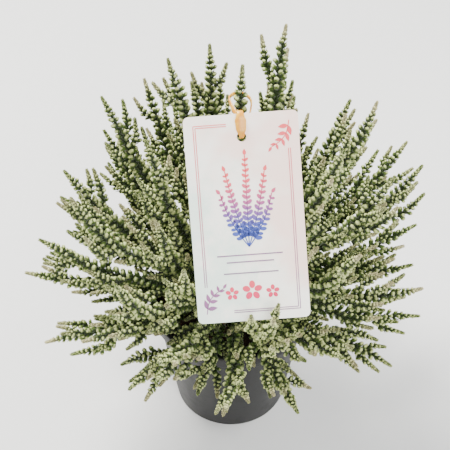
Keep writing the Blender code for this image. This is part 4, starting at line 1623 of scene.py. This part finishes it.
def twig_leaf_tree():
    """The tree that sets small green leaves along the twigs."""
    grow = Growth("Twig leaves")
    leaves = grow.named("Leaves", "NodeSocketObject")
    length = grow.named("Leaf length", "NodeSocketFloat", 0.004)
    seed = grow.named("Seed", "NodeSocketInt", 0)
    material = grow.named("Material", "NodeSocketMaterial")
    along = grow.stored("along", "FLOAT_VECTOR")
    turned_to = {
        "Vector": grow.stored("across", "FLOAT_VECTOR"),
        "Axis": along,
        "Angle": grow.random(0, 2 * math.pi, seed),
    }
    turn = grow.node(
        "FunctionNodeAxesToRotation",
        {"primary_axis": "Z", "secondary_axis": "X"},
        {"Primary Axis": along, "Secondary Axis": grow.node("ShaderNodeVectorRotate", sockets=turned_to)},
    )
    placed = {
        "Points": grow.geometry,
        "Instance": grow.node("GeometryNodeObjectInfo", sockets={"Object": leaves}, out="Geometry"),
        "Rotation": turn,
        "Scale": length * grow.random(0.7, 1.3, seed + 1),
    }
    toned = grow.node(
        "GeometryNodeStoreNamedAttribute",
        {"data_type": "FLOAT", "domain": "INSTANCE"},
        {
            "Geometry": grow.node("GeometryNodeInstanceOnPoints", sockets=placed),
            "Name": "tone",
            "Value": grow.random(0, 1, seed + 2),
        },
    )
    return grow.finish(toned, material)


def bark_finish(settings):
    """Brown fissured bark."""
    bark = Finish("bark")
    along = bark.node("ShaderNodeMapping", sockets={"Vector": bark.place, "Scale": (1, 1, 0.3)})
    ridges = bark.noise(along, 900.0, 4.0, 0.65)
    moss = bark.noise(bark.place, 160.0, 3.0)
    colour = bark.mix(bark.limited(ridges, 0.35, 0.68), settings.cleft, settings.bark)
    return bark.surface(
        {
            "Base Color": bark.mix(bark.limited(moss, 0.55, 0.8) * 0.35, colour, linear(112, 118, 84)),
            "Roughness": 0.82 + ridges * 0.15,
            "Normal": bark.bump(ridges, 0.9, 0.0004),
            "Specular IOR Level": 0.25,
        }
    )


class MakeCrown(bpy.types.Operator):
    """Grows the bark of the trunk, the limbs and the twigs, and the small leaves on the twigs"""

    bl_idname = "heather.make_crown"
    bl_label = "Woody crown"

    def execute(self, context):
        settings = context.scene.heather_crown
        random = np.random.default_rng(settings.seed)
        wood, twigs = crown_lines(SHOOT_LINES)
        bark = line_object("crown_bark", *fine_lines(wood + twigs, BARK_STEP))
        inputs = {"Sides": BARK_SIDES, "Relief": BARK_RELIEF, "Material": bark_finish(settings)}
        grow_piece(bark, bark_tree(), inputs)
        dressed(bark, "bark", "woody_crown")
        leafy = line_object("crown_leaves", *fine_lines(twigs, BARK_STEP * 1.5))
        whorl = make_whorl("twig_whorl", WHORL_LEAVES, 0.62, 0.80, 0.22, (0.0, 0.6), random)
        inputs = {
            "Leaves": whorl,
            "Leaf length": CROWN_LEAF_LENGTH,
            "Seed": settings.seed,
            "Material": bpy.data.materials["velvet_leaf"],
        }
        grow_piece(leafy, twig_leaf_tree(), inputs)
        bpy.data.objects.remove(whorl)
        dressed(leafy, "velvet_leaf")
        return {"FINISHED"}


# Label

PRINT_LIFT = 0.00012
FINE_BAND_SAMPLES = 14
BAND_ROUND = 3
FRAME_INSET = 0.0052
FRAME_LINE = 0.00042
SPRAY_FOOT = (0.0, -0.0155)
SPRAY_SPIKES = ((-0.66, 0.032), (-0.33, 0.043), (0.02, 0.050), (0.35, 0.042), (0.70, 0.031))
SPRAY_STEPS = 24
SPRAY_BOW = 0.011
SPRAY_PITCH = 0.0029
SPRAY_BUD = 0.0040
SPRAY_TURN = 0.85


def card_finish(settings):
    """Coated card with soft washes of colour, blush flecks and a fine tooth."""
    card = Finish("label_card")
    middle, right, up, _ = card_frame()
    from_middle = card.node("ShaderNodeVectorMath", {"operation": "SUBTRACT"}, {0: card.place, 1: tuple(middle)})
    across = card.node("ShaderNodeVectorMath", {"operation": "DOT_PRODUCT"}, {0: from_middle, 1: tuple(right)}, "Value")
    along = card.node("ShaderNodeVectorMath", {"operation": "DOT_PRODUCT"}, {0: from_middle, 1: tuple(up)}, "Value")
    cloud = card.noise(card.place, 26.0, 3.0, 0.55)
    drift = card.noise(card.place, 61.0, 4.0, 0.6)
    warm = card.limited(cloud + across * 5 + along * 3, 0.46, 0.74)
    cool = card.limited(drift - across * 6 - along * 2.5, 0.48, 0.76)
    washed = card.mix(warm * 0.7, settings.card, settings.blush)
    washed = card.mix(cool * 0.6, washed, settings.mint)
    flecks = card.limited(card.noise(card.place, 900.0, 1.0), 0.70, 0.76)
    fine = card.noise(card.place, 3200.0, 2.0)
    return card.surface(
        {
            "Base Color": card.mix(flecks * 0.25, washed, settings.blush),
            "Roughness": 0.42 + fine * 0.12,
            "Normal": card.bump(fine, 0.18, 0.00005),
            "Coat Weight": 0.15 + cloud * 0.1,
            "Coat Roughness": 0.3,
        }
    )


def ink_finish(name, first, second, low, high):
    """Printed ink that runs from one colour to another between two places up the card."""
    ink = Finish(name)
    middle, _, up, _ = card_frame()
    from_middle = ink.node("ShaderNodeVectorMath", {"operation": "SUBTRACT"}, {0: ink.place, 1: tuple(middle)})
    along = ink.node("ShaderNodeVectorMath", {"operation": "DOT_PRODUCT"}, {0: from_middle, 1: tuple(up)}, "Value")
    mottle = ink.noise(ink.place, 420.0, 3.0)
    shade = ink.limited(along + (mottle - 0.5) * 0.008, low, high)
    return ink.surface(
        {
            "Base Color": ink.mix(shade, first, second),
            "Roughness": 0.46 + mottle * 0.1,
        }
    )


def on_print(spots):
    """Places on the printed face, from their places across and up the card."""
    return [on_card(x, y, CARD_THICKNESS / 2 + PRINT_LIFT) for x, y in spots]


def leaf_shape(x, y, angle, length, half, steps=5):
    """A flat pointed leaf, printed from a place on the card in a direction, as a fan of faces."""
    way = np.array((math.cos(angle), math.sin(angle)))
    side = np.array((-way[1], way[0]))
    here = np.array((x, y))
    rim = [here]
    for k in range(1, steps):
        share = k / steps
        rim.append(here + way * length * share - side * half * math.sin(math.pi * share**0.8))
    rim.append(here + way * length)
    for k in range(steps - 1, 0, -1):
        share = k / steps
        rim.append(here + way * length * share + side * half * math.sin(math.pi * share**0.8))
    return rim


def stroke(spots, width):
    """A printed line of a width along places on the card, as a strip of faces."""
    spots = np.array(spots)
    ways = np.gradient(spots, axis=0)
    ways /= np.linalg.norm(ways, axis=1)[:, None]
    sides = np.column_stack((-ways[:, 1], ways[:, 0])) * width / 2
    return [(spots[k] - sides[k], spots[k + 1] - sides[k + 1], spots[k + 1] + sides[k + 1], spots[k] + sides[k])
            for k in range(len(spots) - 1)]


def printed(name, shapes, finish):
    """A printed piece: flat shapes on the card, each the round of its places."""
    points = []
    faces = []
    for shape in shapes:
        faces.append(tuple(range(len(points), len(points) + len(shape))))
        points += on_print(shape)
    obj = object_of(name, points, faces, finish=finish)
    dressed(obj, "label_card")
    return obj


def frame_strokes():
    """The thin frame: two long sides and two short ones, broken where the corner sprigs and the band are."""
    x = CARD_WIDTH / 2 - FRAME_INSET
    y = CARD_LENGTH / 2 - FRAME_INSET
    gap = 0.015
    low, high = -y + gap, y - gap
    shapes = []
    for inset in (0.0, 0.0011):
        a, b = x - inset, y - inset
        shapes += stroke(np.linspace((-a, low), (-a, b), 3), FRAME_LINE)
        shapes += stroke(np.linspace((a, -b), (a, high), 3), FRAME_LINE)
        shapes += stroke(np.linspace((-a, b), (-0.008, b), 3), FRAME_LINE)
        shapes += stroke(np.linspace((-x + gap, -b), (a, -b), 3), FRAME_LINE)
    return shapes


def sprig_shapes(x, y, angle, length, pairs, leaf):
    """A printed sprig: a bowed stalk with pairs of leaves that grow smaller to its tip."""
    bow = 0.16 * length
    way = np.array((math.cos(angle), math.sin(angle)))
    side = np.array((-way[1], way[0]))
    spots = []
    for share in np.linspace(0, 1, 14):
        spots.append(np.array((x, y)) + way * length * share + side * bow * math.sin(math.pi * share))
    shapes = stroke(spots, FRAME_LINE * 1.2)
    for pair in range(pairs):
        share = (pair + 0.8) / (pairs + 0.3)
        at = round(share * (len(spots) - 1))
        size = leaf * (1 - 0.5 * share)
        for turn in (0.85, -0.85):
            shapes.append(leaf_shape(*spots[at], angle + turn, size, size * 0.22))
    shapes.append(leaf_shape(*spots[-1], angle, leaf * 0.55, leaf * 0.12))
    return shapes


def spray_shapes():
    """The printed heather spray: five spikes of small round buds that fan out from one foot."""
    shapes = []
    foot = np.array(SPRAY_FOOT)
    for lean, length in SPRAY_SPIKES:
        angle = math.pi / 2 - lean
        way = np.array((math.cos(angle), math.sin(angle)))
        side = np.array((-way[1], way[0]))
        shares = np.linspace(0, 1, SPRAY_STEPS)
        stalk = np.array([foot + way * length * share + side * SPRAY_BOW * lean * share**2 for share in shares])
        shapes += stroke(stalk, FRAME_LINE * 1.5)
        rows = round(length / SPRAY_PITCH)
        for row in range(2, rows):
            share = row / rows
            at = [float(np.interp(share, shares, stalk[:, axis])) for axis in range(2)]
            size = SPRAY_BUD * (1.15 - 0.60 * share)
            turn = SPRAY_TURN if row % 2 else -SPRAY_TURN
            shapes.append(round_shape(*at, angle + turn, size, size * 0.30))
            shapes.append(round_shape(*at, angle - turn * 1.1, size * 0.8, size * 0.24))
        shapes.append(leaf_shape(*stalk[-1], angle, SPRAY_BUD * 0.9, SPRAY_BUD * 0.25))
    return shapes


def round_shape(x, y, angle, length, half, steps=12):
    """A printed oval, from a place on the card in a direction."""
    way = np.array((math.cos(angle), math.sin(angle)))
    side = np.array((-way[1], way[0]))
    middle = np.array((x, y)) + way * length / 2
    turns = np.linspace(0, 2 * math.pi, steps, endpoint=False)
    return [middle + way * length / 2 * math.cos(turn) + side * half * math.sin(turn) for turn in turns]


def flower_shapes(x, y, size, petals=5):
    """A printed flower of round petals, with a small gap in its middle."""
    shapes = []
    for k in range(petals):
        angle = 2 * math.pi * (k + 0.25) / petals
        foot_x, foot_y = x + 0.22 * size * math.cos(angle), y + 0.22 * size * math.sin(angle)
        shapes.append(round_shape(foot_x, foot_y, angle, size * 0.78, size * 0.30))
    return shapes


class MakeCard(bpy.types.Operator):
    """Finishes the label's card and prints its frame, sprigs, spray, rules and flowers"""

    bl_idname = "heather.make_card"
    bl_label = "Label card"

    def execute(self, context):
        settings = context.scene.heather_label
        card = frame["nodes"]["label_card"]
        card.data.materials.clear()
        card.data.materials.append(card_finish(settings))
        half = CARD_LENGTH / 2
        mauve = ink_finish("ink_mauve", settings.mauve, settings.coral, -half, half)
        spray = ink_finish("ink_spray", settings.blue, settings.coral, -0.006, 0.026)
        grey = ink_finish("ink_grey", settings.grey, settings.mauve, -half, 0)
        rose = ink_finish("ink_rose", settings.rose, settings.coral, -half * 0.8, -half * 0.5)
        x = CARD_WIDTH / 2 - FRAME_INSET
        y = half - FRAME_INSET
        corners = sprig_shapes(-x, -y, 0.95, 0.017, 4, 0.0062) + sprig_shapes(x, y, -2.2, 0.017, 4, 0.0062)
        printed("print_frame", frame_strokes() + corners, mauve)
        printed("print_spray", spray_shapes(), spray)
        rules = []
        for height, width in ((-0.0200, 0.036), (-0.0238, 0.026), (-0.0300, 0.030)):
            rules += stroke(np.linspace((-width / 2, height), (width / 2, height), 3), FRAME_LINE * 1.6)
        printed("print_rules", rules, grey)
        flowers = flower_shapes(0, -0.0400, 0.0056) + flower_shapes(-0.0112, -0.0412, 0.0038)
        flowers += flower_shapes(0.0112, -0.0412, 0.0038)
        printed("print_flowers", flowers, rose)
        return {"FINISHED"}


def band_section():
    """The band's section, as places across and through it: flat, with rounded edges."""
    spots = []
    for side in (1, -1):
        for k in range(BAND_ROUND + 1):
            angle = math.pi * (k / BAND_ROUND - 0.5)
            spots.append((side * math.cos(angle), side * math.sin(angle)))
    return spots


def smooth_band_rings(tied):
    """Fine rings along the whole band: middle, width direction and width."""
    knots = band_knots(tied)
    count = len(knots)
    rings = []
    for k in range(count):
        four = [knots[(k + step) % count] for step in (-1, 0, 1, 2)]
        for step in range(FINE_BAND_SAMPLES):
            share = step / FINE_BAND_SAMPLES
            middle = catmull([knot[0] for knot in four], share)
            ease = smooth(share)
            width_way = unit(four[1][1] * (1 - ease) + four[2][1] * ease)
            width = four[1][2] * (1 - ease) + four[2][2] * ease
            rings.append((middle, width_way, width))
    return rings


def amber_finish(settings):
    """Translucent amber rubber, paler in cloudy patches."""
    rubber = Finish("label_band")
    cloud = rubber.noise(rubber.place, 300.0, 3.0)
    colour = rubber.mix(rubber.limited(cloud, 0.35, 0.7) * 0.5, settings.amber, linear(240, 196, 60))
    return rubber.surface(
        {
            "Base Color": colour,
            "Roughness": 0.34 + cloud * 0.15,
            "Normal": rubber.bump(cloud, 0.2, 0.0001),
            "Subsurface Weight": 0.2,
            "Subsurface Radius": (0.002, 0.0016, 0.0006),
            "Subsurface Scale": 1.0,
            "Coat Weight": 0.2,
        }
    )


class MakeBand(bpy.types.Operator):
    """Makes the amber elastic band that ties the label to a shoot"""

    bl_idname = "heather.make_band"
    bl_label = "Label band"

    def execute(self, context):
        rings = smooth_band_rings(SHOOT_LINES[0][0])
        count = len(rings)
        section = band_section()
        sides = len(section)
        points = []
        for k, (middle, width_way, width) in enumerate(rings):
            tangent = unit(rings[(k + 1) % count][0] - rings[k - 1][0])
            wide = unit(width_way - tangent * (width_way @ tangent))
            thick = np.cross(tangent, wide)
            flat = width / 2 - BAND_THICKNESS / 2
            for across, deep in section:
                out = math.copysign(flat, across) + across * BAND_THICKNESS / 2
                points.append(middle + wide * out + thick * deep * BAND_THICKNESS / 2)
        faces = []
        for k in range(count):
            low, high = k * sides, (k + 1) % count * sides
            for side in range(sides):
                after = (side + 1) % sides
                faces.append((low + side, low + after, high + after, high + side))
        band = object_of("band_dressed", points, faces, finish=amber_finish(context.scene.heather_label))
        made = bmesh.new()
        made.from_mesh(band.data)
        bmesh.ops.recalc_face_normals(made, faces=made.faces)
        made.to_mesh(band.data)
        made.free()
        shade_smooth(band)
        dressed(band, "label_band", "label_band")
        return {"FINISHED"}


# Stage

FLOOR_HALF = 3.0
LOOK_AT = (-0.004, -0.012, 0.171)


def soft_light(name, place, size, power, colour):
    """A square soft light that faces the plant."""
    light = bpy.data.lights.new(name, "AREA")
    light.size = size
    light.energy = power
    light.color = colour
    obj = bpy.data.objects.new(name, light)
    obj.location = place
    obj.rotation_euler = (Vector(LOOK_AT) - Vector(place)).to_track_quat("-Z", "Y").to_euler()
    bpy.context.scene.collection.objects.link(obj)


class MakeStage(bpy.types.Operator):
    """Sets the pale floor, the soft lights and the camera"""

    bl_idname = "heather.make_stage"
    bl_label = "Stage"

    def execute(self, context):
        settings = context.scene.heather_stage
        floor = Finish("stage_floor")
        grain = floor.noise(floor.place, 120.0, 2.0)
        floor.surface({"Base Color": floor.mix(grain * 0.08, settings.floor, (1, 1, 1)), "Roughness": 0.8})
        far = FLOOR_HALF
        spots = [(-far, -far, 0), (far, -far, 0), (far, far, 0), (-far, far, 0)]
        object_of("floor", spots, [(0, 1, 2, 3)], finish=floor.material)
        soft_light("Key light", (-0.50, 0.45, 1.25), 0.6, 62.0, (1.0, 0.99, 0.96))
        soft_light("Side light", (1.0, 0.2, 0.9), 0.8, 16.0, (0.98, 0.99, 1.0))
        soft_light("Front light", (0.3, -1.2, 1.0), 1.0, 34.0, (1.0, 1.0, 1.0))
        world = bpy.data.worlds.new("Studio")
        world.use_nodes = True
        sky = world.node_tree.nodes["Background"]
        sky.inputs["Color"].default_value = (0.86, 0.88, 0.9, 1)
        sky.inputs["Strength"].default_value = 0.45
        context.scene.world = world
        camera = bpy.data.cameras.new("Camera")
        camera.sensor_width = 36
        camera.angle = settings.view_angle
        camera.clip_start = 0.01
        eye = bpy.data.objects.new("Camera", camera)
        away = Vector((0, -math.cos(settings.elevation), math.sin(settings.elevation)))
        eye.location = Vector(LOOK_AT) + away * settings.distance
        eye.rotation_euler = (-away).to_track_quat("-Z", "Y").to_euler()
        context.scene.collection.objects.link(eye)
        context.scene.camera = eye
        return {"FINISHED"}


class HeatherPanel(bpy.types.Panel):
    """The steps of the heather and what can be changed in each"""

    bl_idname = "VIEW3D_PT_heather"
    bl_label = "Potted heather"
    bl_space_type = "VIEW_3D"
    bl_region_type = "UI"
    bl_category = "Heather"

    def draw(self, context):
        for step, group in STEPS:
            box = self.layout.box()
            box.operator(step.bl_idname)
            settings = getattr(context.scene, group)
            for name in settings.bl_rna.properties.keys():
                if name not in ("rna_type", "name"):
                    box.prop(settings, name)


STEPS = (
    (MakeShoots, "heather_foliage"),
    (MakeCrown, "heather_crown"),
    (MakePot, "heather_pot"),
    (MakeCompost, "heather_compost"),
    (MakeCard, "heather_label"),
    (MakeBand, "heather_label"),
    (MakeStage, "heather_stage"),
)


def register():
    for name, settings in SETTINGS.items():
        bpy.utils.register_class(settings)
        setattr(bpy.types.Scene, name, PointerProperty(type=settings))
    for step, _ in STEPS:
        bpy.utils.register_class(step)
    bpy.utils.register_class(HeatherPanel)


def unregister():
    bpy.utils.unregister_class(HeatherPanel)
    for step, _ in reversed(STEPS):
        bpy.utils.unregister_class(step)
    for name, settings in reversed(SETTINGS.items()):
        delattr(bpy.types.Scene, name)
        bpy.utils.unregister_class(settings)


def main():
    register()
    for step, _ in STEPS:
        section, operator = step.bl_idname.split(".")
        getattr(getattr(bpy.ops, section), operator)()
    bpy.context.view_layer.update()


if __name__ == "__main__":
    main()
